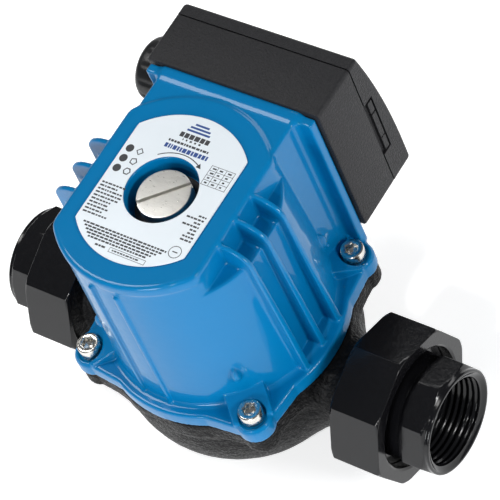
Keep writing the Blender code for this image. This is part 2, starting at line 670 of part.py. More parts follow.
def make_knob(axis):
    """Speed knob: disc with a finger bar on a stem that reaches into the switch."""
    outline = [(0.0, 0.0618), (0.0028, 0.0618), (0.0028, 0.0715), (KNOB_RADIUS, 0.0715),
               (KNOB_RADIUS, 0.0755), (0.0, 0.0755)]
    knob = piece("speed_knob", turned(outline, 24), "charcoal_plastic", axis)
    bar = block((-0.0016, -KNOB_RADIUS * 0.88, 0.0750), (0.0016, KNOB_RADIUS * 0.88, KNOB_FRONT))
    fuse(knob, tool("knob_bar", bar, axis))


def make_box_parts():
    """Electrical parts and screws inside the terminal box."""
    floor = BOX_BACK + BOX_WALL + GAP
    piece("terminal_block", block((0.0060, floor, 0.1035), (0.0320, 0.0590, 0.1195)), "cream_plastic")
    piece("capacitor", block((0.0125, floor, 0.0705), (0.0325, 0.0610, 0.0985)), "charcoal_plastic")
    piece("speed_switch", block((-0.0100, floor, 0.0730), (0.0100, 0.0615, 0.0895)), "cream_plastic")
    for number, place in enumerate(BOX_SCREW_PLACES, 1):
        name = "box_screw_%d" % number
        slotted_screw(name, "zinc_steel", box_axis(name + "_axis", *place), 0.0020, 0.0026, floor,
                      0.0095, 0.0018, 0.0008)
    earth = box_axis("earth_screw_axis", *EARTH_SCREW_PLACE)
    slotted_screw("earth_screw", "zinc_steel", earth, 0.0018, 0.0030, floor + 0.0009, 0.0009, 0.0020, 0.0008)
    cover_axis = box_axis("cover_screw_axis", 0.0, COVER_SCREW_HEIGHT)
    slotted_screw("cover_screw", "zinc_steel", cover_axis, 0.0020, 0.0035, 0.0698, 0.0145, 0.0020, 0.0011)


def make_gland(axis):
    """Cable gland: body through the box wall, locknut inside, seal and nut outside."""
    outer_wall = BOX_HALF_WIDTH + GAP
    inner_wall = BOX_HALF_WIDTH - BOX_WALL - GAP
    collar = outer_wall + 0.0040
    shoulder = 0.0430
    outline = [(GLAND_BORE_RADIUS, 0.0290), (GLAND_THREAD_RADIUS, 0.0290), (GLAND_THREAD_RADIUS, outer_wall),
               (0.0115, outer_wall), (0.0115, collar), (0.0090, collar), (0.0090, shoulder + 0.0020),
               (GLAND_BORE_RADIUS, shoulder + 0.0020)]
    piece("gland_body", turned(outline, 24), "charcoal_plastic", axis)
    hexagon = circle(LOCKNUT_CORNER_RADIUS, 6)
    plate = prism(hexagon, inner_wall - 0.0035, inner_wall)
    locknut = piece("gland_locknut", plate, "charcoal_plastic", axis)
    cut(locknut, tool("locknut_bore", rod(GLAND_THREAD_RADIUS + GAP, 0.0280, 0.0345, 20), axis))
    seal_radius = GLAND_BORE_RADIUS - GAP
    seal = [(CABLE_HOLE_RADIUS, 0.0380), (seal_radius, 0.0380), (seal_radius, 0.0453),
            (0.0086, 0.0453), (0.0086, 0.0470), (CABLE_HOLE_RADIUS, 0.0470)]
    piece("gland_seal", turned(seal, 24), "black_rubber", axis)
    nut_back = collar + GAP
    shell = [(0.0, nut_back), (GLAND_CORNER_RADIUS, nut_back), (GLAND_CORNER_RADIUS, GLAND_END - 0.0030),
             (GLAND_CORNER_RADIUS - 0.0030, GLAND_END), (0.0, GLAND_END)]
    nut = piece("gland_nut", turned(shell, 12), "charcoal_plastic", axis)
    bore = [(0.0, 0.0390), (0.0093, 0.0390), (0.0093, 0.0473), (0.0060, 0.0473), (0.0060, 0.0520),
            (0.0, 0.0520)]
    cut(nut, tool("gland_nut_bore", turned(bore, 24), axis))


def main():
    """Build the whole pump."""
    clear_scene()
    outlet_axis = axis_empty("outlet_axis", (0.0, 0.0, PIPE_HEIGHT), (0.0, math.radians(90), 0.0))
    inlet_axis = axis_empty("inlet_axis", (0.0, 0.0, PIPE_HEIGHT), (0.0, math.radians(-90), 0.0))
    rotor_axis = axis_empty("rotor_axis", (0.0, 0.0, 0.0), (0.0, 0.0, 0.0))
    gland_axis = axis_empty("gland_axis", (0.0, GLAND_Y, GLAND_Z), (0.0, math.radians(-90), 0.0))
    make_volute(outlet_axis, inlet_axis)
    make_union("outlet", outlet_axis)
    make_union("inlet", inlet_axis)
    make_wet_side(rotor_axis)
    make_stator()
    make_housing()
    for number, place in enumerate(screw_places(), 1):
        socket_screw("housing_screw_%d" % number, place, 0.012)
    make_vent()
    make_box_base()
    make_box_cover()
    make_knob(box_axis("knob_axis", 0.0, KNOB_HEIGHT))
    make_box_parts()
    make_gland(gland_axis)


main()
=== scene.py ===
"""Looks of a wet-rotor circulator pump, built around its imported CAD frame.

Lengths are in millimetres, apart from the studio's and the frame's, which are in metres.
"""
import json
import math
import random

import bmesh
import bpy
import numpy as np
from mathutils import Matrix, Vector, noise


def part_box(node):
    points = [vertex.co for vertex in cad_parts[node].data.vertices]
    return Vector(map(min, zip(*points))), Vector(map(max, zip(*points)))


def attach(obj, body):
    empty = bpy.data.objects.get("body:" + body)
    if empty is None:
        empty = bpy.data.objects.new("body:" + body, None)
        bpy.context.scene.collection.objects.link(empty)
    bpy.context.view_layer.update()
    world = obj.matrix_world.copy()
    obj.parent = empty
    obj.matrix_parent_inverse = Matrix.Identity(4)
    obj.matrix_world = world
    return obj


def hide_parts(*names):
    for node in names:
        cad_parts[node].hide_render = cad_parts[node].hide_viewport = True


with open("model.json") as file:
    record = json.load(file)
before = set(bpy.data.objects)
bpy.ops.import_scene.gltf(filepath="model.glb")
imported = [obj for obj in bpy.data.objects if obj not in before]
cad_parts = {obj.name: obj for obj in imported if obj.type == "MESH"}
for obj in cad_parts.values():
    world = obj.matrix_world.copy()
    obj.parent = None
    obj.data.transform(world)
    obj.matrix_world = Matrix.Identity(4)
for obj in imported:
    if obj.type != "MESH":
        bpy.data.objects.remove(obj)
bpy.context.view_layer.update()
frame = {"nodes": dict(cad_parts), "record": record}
BODY_OF = {node: body for body, nodes in frame["record"]["behaviour"]["bodies"].items() for node in nodes}

MM = 0.001
FAR = 999.0

# Flange and its screws
SCREW_OFFSET = 34.65
SCREW_DIAGONAL = SCREW_OFFSET * math.sqrt(2)
SCREW_SEAT = 54.8
SCREW_HOLE_RADIUS = 2.8
SCREW_WELL_RADIUS = 4.95
FLANGE_RADIUS = 45.7
EAR_RADIUS = 6.8
FLANGE_BOTTOM = 49.0
FLANGE_TOP = 55.0
DIAGONALS = (45.0, 135.0, 225.0, 315.0)

# Motor housing
DRUM_RADIUS = 41.0
DRUM_FOOT = 51.0
DRUM_TAPER = 0.0386
END_FACE = 126.0
END_HALF_WIDTH = 29.75
SHELF_Z = 115.4
NOTCH_FLOOR = 114.4
FIN_PLACES = (-10.4, 0.0, 10.4)
FIN_GAPS = (-5.2, 5.2)
FIN_GAP_HALF = 3.9
FIN_TOP = 117.0
RIDGE_ANGLES = (-100.5, -84.5)
PAD_FACE = 44.0
WIRE_HOLE = (0.0, 96.0)
WIRE_HOLE_RADIUS = 6.0
BOX_SCREWS = ((-24.0, 118.0), (24.0, 66.0))
SMALL_HOLE_RADIUS = 2.3
DROP_SEED = 11
DROP_COUNT = 26
DROP_CLEARANCE = 6.6

# Pipes and unions
PIPE_Z = 33.0
PIPE_PITCH = 2.309
PORT_RADIUS = 13.0
NUT_CORNER = 29.0
TAIL_CORNER = 20.9

# Plug and label
PLUG_TOP = 124.1
LABEL_BOTTOM = 126.3
LABEL_TOP = 126.62
LABEL_RADIUS = 30.0
LABEL_HALF_WIDTH = 22.4
LABEL_HOLE_RADIUS = 13.2
PRINT_DEPTH = 0.05
PRINT_HEIGHT = 0.03
LABEL_SEED = 5

# Terminal box and gland
BOX_HALF_WIDTH = 35.5
BOX_BOTTOM = 61.0
BOX_TOP = 126.5
SEAM = 64.6
COVER_DEPTH = 75.8
CURVE_START = 66.0
CURVE_DEPTH = 6.3
CURVE_POWER = 2.2
COVER_SCREW = (0.0, 111.0)
KNOB_Z = 83.0
MARK_RADIUS = 12.6
GLAND_PLACE = (55.5, 100.0)


# Signed distances on a grid

def smooth_min(a, b, blend):
    """Union of two distances with a fillet about as wide as the blend."""
    if blend <= 0:
        return np.minimum(a, b)
    h = np.maximum(blend - np.abs(a - b), 0) / blend
    return np.minimum(a, b) - h * h * blend / 4


def overlap(edge, *parts):
    """Overlap of shapes, with the edges between them rounded."""
    grown = [part + edge for part in parts]
    highest = grown[0]
    squares = np.maximum(grown[0], 0) ** 2
    for part in grown[1:]:
        highest = np.maximum(highest, part)
        squares = squares + np.maximum(part, 0) ** 2
    return np.minimum(highest, 0) + np.sqrt(squares) - edge


def between(values, low, high):
    """Distance to the slab between two values."""
    return np.abs(values - (low + high) / 2) - (high - low) / 2


def outline_distance(u, v, points):
    """Signed distance to a closed outline."""
    shape = np.broadcast(u, v).shape
    nearest = np.full(shape, 1e6, np.float32)
    inside = np.zeros(shape, bool)
    for (ax, ay), (bx, by) in zip(points, points[1:] + points[:1]):
        ex, ey = bx - ax, by - ay
        share = np.clip(((u - ax) * ex + (v - ay) * ey) / (ex * ex + ey * ey), 0, 1)
        nearest = np.minimum(nearest, (u - ax - ex * share) ** 2 + (v - ay - ey * share) ** 2)
        if ay != by:
            crosses = ((ay <= v) != (by <= v)) & (u < ax + (v - ay) * ex / ey)
            inside ^= crosses
    return np.where(inside, -1, 1) * np.sqrt(nearest)


class Field:
    """Signed distances on a regular grid, negative inside the material."""

    def __init__(self, low, high, step):
        self.step = step
        self.axes = []
        for start, end in zip(low, high):
            count = int(math.ceil((end - start) / step)) + 1
            self.axes.append((start + step * np.arange(count)).astype(np.float32))
        self.d = np.full([len(axis) for axis in self.axes], 60.0, np.float32)

    def window(self, low, high):
        """Slices and open grids between two corners."""
        slices = []
        for axis, start, end in zip(self.axes, low, high):
            slices.append(slice(int(np.searchsorted(axis, start)), int(np.searchsorted(axis, end))))
        parts = [axis[cut] for axis, cut in zip(self.axes, slices)]
        return tuple(slices), np.meshgrid(*parts, indexing="ij", sparse=True)

    def add(self, shape, blend=0.0, low=(-FAR,) * 3, high=(FAR,) * 3):
        slices, (x, y, z) = self.window(low, high)
        self.d[slices] = smooth_min(self.d[slices], shape(x, y, z), blend)

    def cut(self, shape, blend=0.0, low=(-FAR,) * 3, high=(FAR,) * 3):
        slices, (x, y, z) = self.window(low, high)
        self.d[slices] = -smooth_min(-self.d[slices], shape(x, y, z), blend)

    def sample(self, points):
        """Unit vectors that point out of the material at points, from the slope of the field."""
        low = np.array([axis[0] for axis in self.axes])
        places = (points - low) / self.step
        limit = np.array(self.d.shape) - 2
        base = np.clip(np.floor(places).astype(int), 1, limit - 1)
        slope = np.zeros((len(points), 3))
        for corner in ((i, j, k) for i in (0, 1) for j in (0, 1) for k in (0, 1)):
            at = base + np.array(corner)
            weight = np.prod(np.where(np.array(corner) == 1, places - base, 1 - (places - base)), axis=1)
            for axis in range(3):
                ahead, behind = at.copy(), at.copy()
                ahead[:, axis] = np.minimum(ahead[:, axis] + 1, limit[axis] + 1)
                behind[:, axis] -= 1
                slope[:, axis] += weight * (self.d[tuple(ahead.T)] - self.d[tuple(behind.T)])
        return slope / np.maximum(np.linalg.norm(slope, axis=1, keepdims=True), 1e-9)

    def skin(self):
        """Points and quads of the surface, one point in each cell that the surface crosses."""
        d = self.d
        solid = d < 0
        counts = [size - 1 for size in d.shape]
        corners = [(i, j, k) for i in (0, 1) for j in (0, 1) for k in (0, 1)]
        filled = np.zeros(counts, np.uint8)
        for i, j, k in corners:
            filled += solid[i:i + counts[0], j:j + counts[1], k:k + counts[2]]
        cells = np.argwhere((filled > 0) & (filled < 8))
        values = [d[tuple((cells + np.array(corner)).T)] for corner in corners]
        total = np.zeros((len(cells), 3))
        hits = np.zeros(len(cells))
        for a, start in enumerate(corners):
            for b, end in enumerate(corners):
                if b <= a or sum(abs(p - q) for p, q in zip(start, end)) != 1:
                    continue
                crosses = (values[a] < 0) != (values[b] < 0)
                share = np.where(crosses, values[a] / np.where(crosses, values[a] - values[b], 1), 0)
                point = np.array(start) + share[:, None] * (np.array(end) - np.array(start))
                total += point * crosses[:, None]
                hits += crosses
        low = np.array([axis[0] for axis in self.axes])
        points = low + (cells + total / hits[:, None]) * self.step
        index = np.full(counts, -1, np.int64)
        index[tuple(cells.T)] = np.arange(len(cells))
        quads = []
        for axis in range(3):
            one = np.take(solid, range(d.shape[axis] - 1), axis)
            two = np.take(solid, range(1, d.shape[axis]), axis)
            places = np.argwhere(one != two)
            u, v = (axis + 1) % 3, (axis + 2) % 3
            kept = (places[:, u] > 0) & (places[:, v] > 0)
            kept &= (places[:, u] < counts[u]) & (places[:, v] < counts[v])
            places = places[kept]
            ring = []
            for du, dv in ((0, 0), (1, 0), (1, 1), (0, 1)):
                at = places.copy()
                at[:, u] -= du
                at[:, v] -= dv
                ring.append(index[tuple(at.T)])
            ring = np.stack(ring, axis=1)
            outward = one[tuple(places.T)]
            quads.append(np.where(outward[:, None], ring, ring[:, ::-1]))
        return points, np.concatenate(quads)


# Meshes

def mesh_of(points, faces):
    """Mesh in metres from points in millimetres."""
    mesh = bpy.data.meshes.new("shape")
    mesh.from_pydata((np.asarray(points, float) * MM).tolist(), [], [tuple(face) for face in faces])
    return mesh


def link(name, mesh):
    thing = bpy.data.objects.new(name, mesh)
    bpy.context.scene.collection.objects.link(thing)
    return thing


def settle(thing):
    """Apply the modifiers of an object to its mesh."""
    bpy.context.view_layer.update()
    graph = bpy.context.evaluated_depsgraph_get()
    mesh = bpy.data.meshes.new_from_object(thing.evaluated_get(graph))
    thing.modifiers.clear()
    thing.data = mesh


def present(thing, nodes, material, body=None):
    """Give a finished piece its material and body, and let it stand for its CAD nodes if it has any."""
    thing.data.materials.clear()
    thing.data.materials.append(material)
    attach(thing, body or BODY_OF[nodes[0]])
    if nodes:
        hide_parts(*nodes)


def field_piece(name, field, keep, node, roughness=0.0):
    """Thinned mesh of a field, held in its node's box; it is shaded from the field, or roughened."""
    points, quads = field.skin()
    thing = link(name, mesh_of(points, quads.tolist()))
    thin = thing.modifiers.new("thin", "DECIMATE")
    thin.ratio = keep
    settle(thing)
    mesh = thing.data
    places = np.zeros(len(mesh.vertices) * 3)
    mesh.vertices.foreach_get("co", places)
    places = places.reshape(-1, 3)
    normals = field.sample(places / MM)
    if roughness:
        for number, place in enumerate(places):
            spot = Vector(place)
            swell = noise.noise(spot * 160) * 0.6 + noise.noise(spot * 430) * 0.4
            places[number] += normals[number] * swell * roughness * MM
    low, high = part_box(node)
    mesh.vertices.foreach_set("co", np.clip(places, low, high).ravel())
    mesh.update()
    mesh.shade_smooth()
    if not roughness:
        mesh.normals_split_custom_set_from_vertices([tuple(normal) for normal in normals])
    return thing


def soften(thing, width, segments, angle):
    """Small rounded edges, with flat faces kept flat in the shading."""
    bevel = thing.modifiers.new("edges", "BEVEL")
    bevel.width = width * MM
    bevel.segments = segments
    bevel.limit_method = "ANGLE"
    bevel.angle_limit = math.radians(angle)
    bevel.use_clamp_overlap = True
    flat = thing.modifiers.new("shading", "WEIGHTED_NORMAL")
    flat.keep_sharp = True


def smooth_faces(thing, angle):
    """Smooth shading, apart from edges sharper than an angle."""
    thing.data.shade_smooth()
    thing.data.set_sharp_from_angle(angle=math.radians(angle))


def skin_rings(rings, closed):
    """Mesh over rings of points, with the last ring joined to the first, or with a face on both ends."""
    count = len(rings[0])
    points = [point for ring in rings for point in ring]
    faces = []
    pairs = list(zip(range(len(rings)), range(1, len(rings))))
    if closed:
        pairs.append((len(rings) - 1, 0))
    for one, two in pairs:
        for step in range(count):
            following = (step + 1) % count
            faces.append((one * count + step, one * count + following,
                          two * count + following, two * count + step))
    if not closed:
        faces.append(tuple(range(count)))
        faces.append(tuple(range((len(rings) - 1) * count, len(rings) * count)))
    mesh = mesh_of(points, faces)
    bm = bmesh.new()
    bm.from_mesh(mesh)
    bmesh.ops.remove_doubles(bm, verts=bm.verts, dist=1e-7)
    bmesh.ops.recalc_face_normals(bm, faces=bm.faces)
    bm.to_mesh(mesh)
    bm.free()
    return mesh


def polygon_reach(angle, corner, sides):
    """Distance from the centre of a regular polygon to its side; a corner lies at angle 0."""
    half = math.pi / sides
    return corner * math.cos(half) / np.cos(np.mod(angle, 2 * half) - half)


def turned_mesh(profile, count, place, closed=False):
    """Mesh of a turned profile of (distance along the axis, reach as a number or a function of angle)."""
    angles = np.arange(count) * math.tau / count
    rings = []
    for along, reach in profile:
        radii = reach(angles) if callable(reach) else np.full(count, float(reach))
        rings.append([place(along, radius, angle) for radius, angle in zip(radii, angles)])
    return skin_rings(rings, closed)


def turned(name, profile, count, place, closed, crease, bevel=()):
    """Turned piece, sharp over the crease angle, with bevels of (width, segments, angle) if given."""
    thing = link(name, turned_mesh(profile, count, place, closed))
    smooth_faces(thing, crease)
    if bevel:
        soften(thing, *bevel)
    return thing


def rod(start, end, radius, count, place):
    """Plain cylinder along an axis, to cut with or to join on."""
    return turned_mesh([(start, 0.0), (start, radius), (end, radius), (end, 0.0)], count, place)


def upward(x, y):
    """Points round an upright axis."""
    return lambda along, radius, angle: (x + radius * math.cos(angle), y + radius * math.sin(angle), along)


def sideways(side, y, z):
    """Points round an axis along the pipe; the angle starts at the top."""
    return lambda along, radius, angle: (side * along, y + radius * math.sin(angle),
                                         z + radius * math.cos(angle))


def backward(x, z):
    """Points round an axis that runs to the back of the terminal box."""
    return lambda along, radius, angle: (x + radius * math.cos(angle), along, z + radius * math.sin(angle))


def carve(thing, cutter, operation="DIFFERENCE"):
    """Boolean with a helper mesh, applied at once."""
    helper = link("helper", cutter)
    change = thing.modifiers.new("carve", "BOOLEAN")
    change.operation = operation
    change.solver = "EXACT"
    change.object = helper
    settle(thing)
    bpy.data.objects.remove(helper)


def block_mesh(low, high, turn=None):
    """Box between two corners, turned about the Z axis by an angle if one is given."""
    points = [(x, y, z) for z in (low[2], high[2]) for x, y in ((low[0], low[1]), (high[0], low[1]),
                                                               (high[0], high[1]), (low[0], high[1]))]
    faces = [(0, 3, 2, 1), (4, 5, 6, 7), (0, 1, 5, 4), (1, 2, 6, 5), (2, 3, 7, 6), (3, 0, 4, 7)]
    mesh = mesh_of(points, faces)
    if turn is not None:
        mesh.transform(Matrix.Rotation(math.radians(turn), 4, "Z"))
    return mesh


def merged(name, meshes):
    """One object made of several closed meshes."""
    bm = bmesh.new()
    for mesh in meshes:
        bm.from_mesh(mesh)
        bpy.data.meshes.remove(mesh)
    whole = bpy.data.meshes.new(name)
    bm.to_mesh(whole)
    bm.free()
    return link(name, whole)


# Finishes

def finish(name, colour, roughness, metallic=0.0, coat=0.0, coat_roughness=0.06, mottle=(90, 0.08),
           scatter=(700, 0.05), bumps=(), stretch=(1, 1, 1), bands=None, specular=0.5):
    """Procedural material: mottled colour, uneven roughness and layered bumps."""
    material = bpy.data.materials.new(name)
    material.use_nodes = True
    tree = material.node_tree
    shader = tree.nodes["Principled BSDF"]
    shader.inputs["Metallic"].default_value = metallic
    shader.inputs["Coat Weight"].default_value = coat
    shader.inputs["Coat Roughness"].default_value = coat_roughness
    shader.inputs["Specular IOR Level"].default_value = specular
    places = tree.nodes.new("ShaderNodeTexCoord")
    mapping = tree.nodes.new("ShaderNodeMapping")
    mapping.inputs["Scale"].default_value = stretch
    tree.links.new(places.outputs["Object"], mapping.inputs["Vector"])

    def grain(scale, detail=3.0):
        node = tree.nodes.new("ShaderNodeTexNoise")
        node.inputs["Scale"].default_value = scale
        node.inputs["Detail"].default_value = detail
        tree.links.new(mapping.outputs["Vector"], node.inputs["Vector"])
        return node.outputs["Fac"]

    mix = tree.nodes.new("ShaderNodeMix")
    mix.data_type = "RGBA"
    scale, amount = mottle
    mix.inputs["A"].default_value = (*[c * (1 - amount) for c in colour], 1)
    mix.inputs["B"].default_value = (*[min(1, c * (1 + amount)) for c in colour], 1)
    tree.links.new(grain(scale), mix.inputs["Factor"])
    tree.links.new(mix.outputs["Result"], shader.inputs["Base Color"])
    spread = tree.nodes.new("ShaderNodeMapRange")
    scale, amount = scatter
    spread.inputs["From Min"].default_value = 0.3
    spread.inputs["From Max"].default_value = 0.7
    spread.inputs["To Min"].default_value = max(0.02, roughness - amount)
    spread.inputs["To Max"].default_value = roughness + amount
    tree.links.new(grain(scale), spread.inputs["Value"])
    tree.links.new(spread.outputs["Result"], shader.inputs["Roughness"])
    last = None
    layers = [(grain(scale, 2.0), depth) for scale, depth in bumps]
    if bands:
        direction, scale, depth = bands
        wave = tree.nodes.new("ShaderNodeTexWave")
        wave.wave_type = "BANDS"
        wave.bands_direction = direction
        wave.inputs["Scale"].default_value = scale
        tree.links.new(places.outputs["Object"], wave.inputs["Vector"])
        layers.append((wave.outputs["Fac"], depth))
    for height, depth in layers:
        bump = tree.nodes.new("ShaderNodeBump")
        bump.inputs["Distance"].default_value = depth * MM
        bump.inputs["Strength"].default_value = 1.0
        tree.links.new(height, bump.inputs["Height"])
        if last:
            tree.links.new(last.outputs["Normal"], bump.inputs["Normal"])
        last = bump
    if last:
        tree.links.new(last.outputs["Normal"], shader.inputs["Normal"])
    return material


BLUE = finish("blue_enamel", (0.0, 0.160, 0.385), 0.34, coat=0.42, coat_roughness=0.025, mottle=(40, 0.05),
              scatter=(300, 0.05), bumps=((260, 0.05), (900, 0.012)), specular=0.05)
IRON = finish("black_cast_iron", (0.005, 0.005, 0.0055), 0.50, mottle=(600, 0.35),
              scatter=(1500, 0.20), bumps=((330, 0.75), (1000, 0.45)), specular=0.13)
UNION = finish("black_union", (0.005, 0.005, 0.006), 0.14, coat=0.20, coat_roughness=0.08,
               mottle=(500, 0.25), scatter=(1200, 0.06), bumps=((300, 0.03), (1600, 0.03)), specular=0.22)
BOX = finish("charcoal_moulding", (0.017, 0.017, 0.019), 0.52, mottle=(1500, 0.45), scatter=(1600, 0.10),
             bumps=((1100, 0.26), (2600, 0.14)), specular=0.22)
GLAND = finish("gland_nylon", (0.010, 0.010, 0.011), 0.36, mottle=(400, 0.12), scatter=(900, 0.05),
               bumps=((900, 0.02),), specular=0.35)
NICKEL = finish("brushed_nickel", (0.62, 0.61, 0.58), 0.34, metallic=1.0, mottle=(60, 0.14),
                scatter=(500, 0.07), bumps=((420, 0.035),), stretch=(1, 7, 1))
ZINC = finish("bright_zinc", (0.66, 0.64, 0.60), 0.22, metallic=1.0, mottle=(500, 0.15),
              scatter=(900, 0.08), bumps=((900, 0.03),))
LABEL = finish("label_foil", (0.76, 0.82, 0.87), 0.34, metallic=0.1, mottle=(120, 0.03),
               scatter=(900, 0.04), bumps=((600, 0.008),))
INK = finish("label_ink", (0.030, 0.032, 0.038), 0.5, mottle=(900, 0.2))
BLUE_INK = finish("label_blue_ink", (0.010, 0.055, 0.24), 0.45, mottle=(900, 0.15))
RUBBER = finish("black_rubber", (0.012, 0.012, 0.012), 0.72, mottle=(700, 0.2), scatter=(900, 0.08),
                bumps=((1200, 0.03),))
STEEL = finish("stainless_sheet", (0.56, 0.56, 0.56), 0.30, metallic=1.0, mottle=(150, 0.06),
               scatter=(600, 0.06), bumps=((700, 0.01),), stretch=(1, 1, 5))
LAMINATION = finish("stator_laminations", (0.22, 0.22, 0.23), 0.5, metallic=0.9, mottle=(200, 0.2),
                    bands=("Z", 320, 0.10))
COPPER = finish("enamelled_copper", (0.62, 0.23, 0.08), 0.35, metallic=0.9, coat=0.4, mottle=(200, 0.25),
                bands=("DIAGONAL", 260, 0.35))
CERAMIC = finish("alumina_ceramic", (0.82, 0.80, 0.75), 0.28, mottle=(300, 0.03), bumps=((1500, 0.005),))
CREAM = finish("cream_moulding", (0.70, 0.67, 0.58), 0.42, mottle=(300, 0.05), bumps=((1200, 0.015),))

SLOT_FINISHES = {
    "cast_iron": IRON, "blue_paint": BLUE, "label": LABEL, "nickel": NICKEL, "zinc_steel": ZINC,
    "box_plastic": BOX, "gland_plastic": GLAND, "union_black": UNION, "rubber": RUBBER,
    "stainless": STEEL, "lamination": LAMINATION, "copper": COPPER, "ceramic": CERAMIC,
    "cream_plastic": CREAM,
}


# Castings

def arc_points(radius, start, end, steps, centre=(0.0, 0.0)):
    """Points on an arc between two angles in degrees."""
    points = []
    for step in range(steps + 1):
        angle = math.radians(start + (end - start) * step / steps)
        points.append((centre[0] + radius * math.cos(angle), centre[1] + radius * math.sin(angle)))
    return points


def flange_outline(growth=0.0):
    """Round flange with four rounded ears."""
    points = []
    for quarter in range(4):
        middle = quarter * 90.0
        points += arc_points(FLANGE_RADIUS + growth, middle - 24, middle + 24, 14)
        diagonal = math.radians(middle + 45)
        centre = (SCREW_DIAGONAL * math.cos(diagonal), SCREW_DIAGONAL * math.sin(diagonal))
        points += arc_points(EAR_RADIUS + growth, middle - 30, middle + 120, 12, centre)
    return points


def along_and_across(x, y, degrees):
    """Coordinates along and across a direction in the plane of the flange."""
    angle = math.radians(degrees)
    return x * math.cos(angle) + y * math.sin(angle), y * math.cos(angle) - x * math.sin(angle)


def fin_outline():
    """Side view of a fin as (reach, height)."""
    points = [(33.0, 54.0), (43.0, 54.0), (40.5, FIN_TOP)]
    for step in range(1, 9):
        angle = math.pi / 2 * step / 8
        points.append((29.0 + 11.5 * math.cos(angle), FIN_TOP + 8.0 * math.sin(angle)))
    return points + [(27.0, 125.0), (27.0, 112.0)]


def drum_radius(z):
    """Radius of the slightly tapered drum at a height."""
    return DRUM_RADIUS - (z - DRUM_FOOT) * DRUM_TAPER


def add_drum_and_pad(field):
    """Drum, shelf and end face, the flange with its ears, and the pad that carries the terminal box."""
    field.add(lambda x, y, z: overlap(1.0, np.hypot(x, y) - drum_radius(z), z - SHELF_Z))
    field.add(lambda x, y, z: overlap(1.6, np.hypot(x, y) - drum_radius(z) - 0.4 * np.clip(z - 121.2, 0, 1),
                                      z - END_FACE, np.abs(x) - END_HALF_WIDTH))
    ears = flange_outline()
    field.add(lambda x, y, z: overlap(1.1, outline_distance(x, y, ears), between(z, 44.0, FLANGE_TOP)),
              2.2, high=(FAR, FAR, 62))
    field.add(lambda x, y, z: overlap(1.2, np.abs(x) - 28.0, between(y, 12.0, PAD_FACE),
                                      between(z, 48.0, END_FACE - 0.7)), 0.7, low=(-36, 8, 44))
    field.add(lambda x, y, z: overlap(0.6, np.abs(x) - 34.0, between(y, 40.5, PAD_FACE),
                                      between(z, 53.0, 124.6)), 3.0, low=(-42, 31, 44))


def add_fins(field):
    """Fins on both sides, the pockets between them, and two ridges on the drum."""
    side_view = fin_outline()
    for place in FIN_PLACES:
        field.add(lambda x, y, z: overlap(0.45, outline_distance(np.abs(x), z, side_view),
                                          np.abs(y - place) - 0.9 - (FIN_TOP - z) * 0.007),
                  0.9, low=(-FAR, place - 7, 50), high=(FAR, place + 7, 129))
    for side in (-1, 1):
        for middle in FIN_GAPS:
            for depth, floor in ((37.2, 56.0), (END_HALF_WIDTH, NOTCH_FLOOR)):
                field.cut(lambda x, y, z: overlap(0.4, depth - side * x, np.abs(y - middle) - FIN_GAP_HALF,
                                                  between(z, floor, 135.0)), 0.5,
                          low=(-45, middle - 7, 52), high=(45, middle + 7, 129))
    for degrees in RIDGE_ANGLES:
        def ridge(x, y, z):
            """Upright ridge on the drum."""
            along, across = along_and_across(x, y, degrees)
            return overlap(0.35, along - drum_radius(z) - 1.0, 33 - along, np.abs(across) - 0.9,
                           z - 119.0)
        field.add(ridge, 0.5, high=(FAR, -28, 123))


def add_screw_corners(field):
    """Boss, rim and teardrop at each flange screw."""
    for degrees in DIAGONALS:
        def boss(x, y, z):
            """Wedge that falls outwards."""
            along, across = along_and_across(x, y, degrees)
            top = (z - 61.0 + (along - 38.0) * 0.4) * 0.93
            return overlap(0.3, between(along, 34.0, 50.5), np.abs(across) - 7.1, top, 50 - z)

        def rim(x, y, z):
            """Raised ring round the screw head."""
            along, across = along_and_across(x, y, degrees)
            return overlap(0.3, np.abs(np.hypot(along - SCREW_DIAGONAL, across) - 5.5) - 0.65,
                           between(z, 50.0, 55.55))

        def tear(x, y, z):
            """Teardrop on the drum above the boss."""
            along, across = along_and_across(x, y, degrees)
            width = np.interp(z, (66.0, 69.0, 74.5), (1.2, 1.0, 0.45)).astype(np.float32)
            round_bump = np.sqrt(((along - drum_radius(z) + 0.2) / 2.5) ** 2
                                 + (across / (2.1 * width)) ** 2 + ((z - 70.0) / 3.9) ** 2)
            return (round_bump - 1) * 1.8

        low = [0 if direction(math.radians(degrees)) > 0 else -FAR for direction in (math.cos, math.sin)]
        high = [FAR if edge == 0 else 0 for edge in low]
        field.add(boss, 0.4, low=(*low, 48), high=(*high, 62))
        field.add(rim, 0.4, low=(*low, 48), high=(*high, 62))
        field.add(tear, 0.25, low=(*low, 60), high=(*high, 80))


def add_paint_drops(field):
    """Drops of paint at random places near one screw, clear of its rim."""
    drops = random.Random(DROP_SEED)
    for _ in range(DROP_COUNT):
        x0, y0 = drops.uniform(28.4, 33.5), drops.uniform(25.0, 40.0)
        z0 = drops.uniform(55.0, 66.0) if x0 < 30.5 else 55.4 + drops.uniform(0, 1.5)
        size = drops.uniform(0.5, 1.2)
        if math.hypot(x0 - SCREW_OFFSET, y0 - SCREW_OFFSET) > DROP_CLEARANCE:
            field.add(lambda x, y, z: np.sqrt((x - x0) ** 2 + (y - y0) ** 2 + (z - z0) ** 2) - size, 0.5,
                      low=(x0 - 3, y0 - 3, z0 - 3), high=(x0 + 3, y0 + 3, z0 + 3))


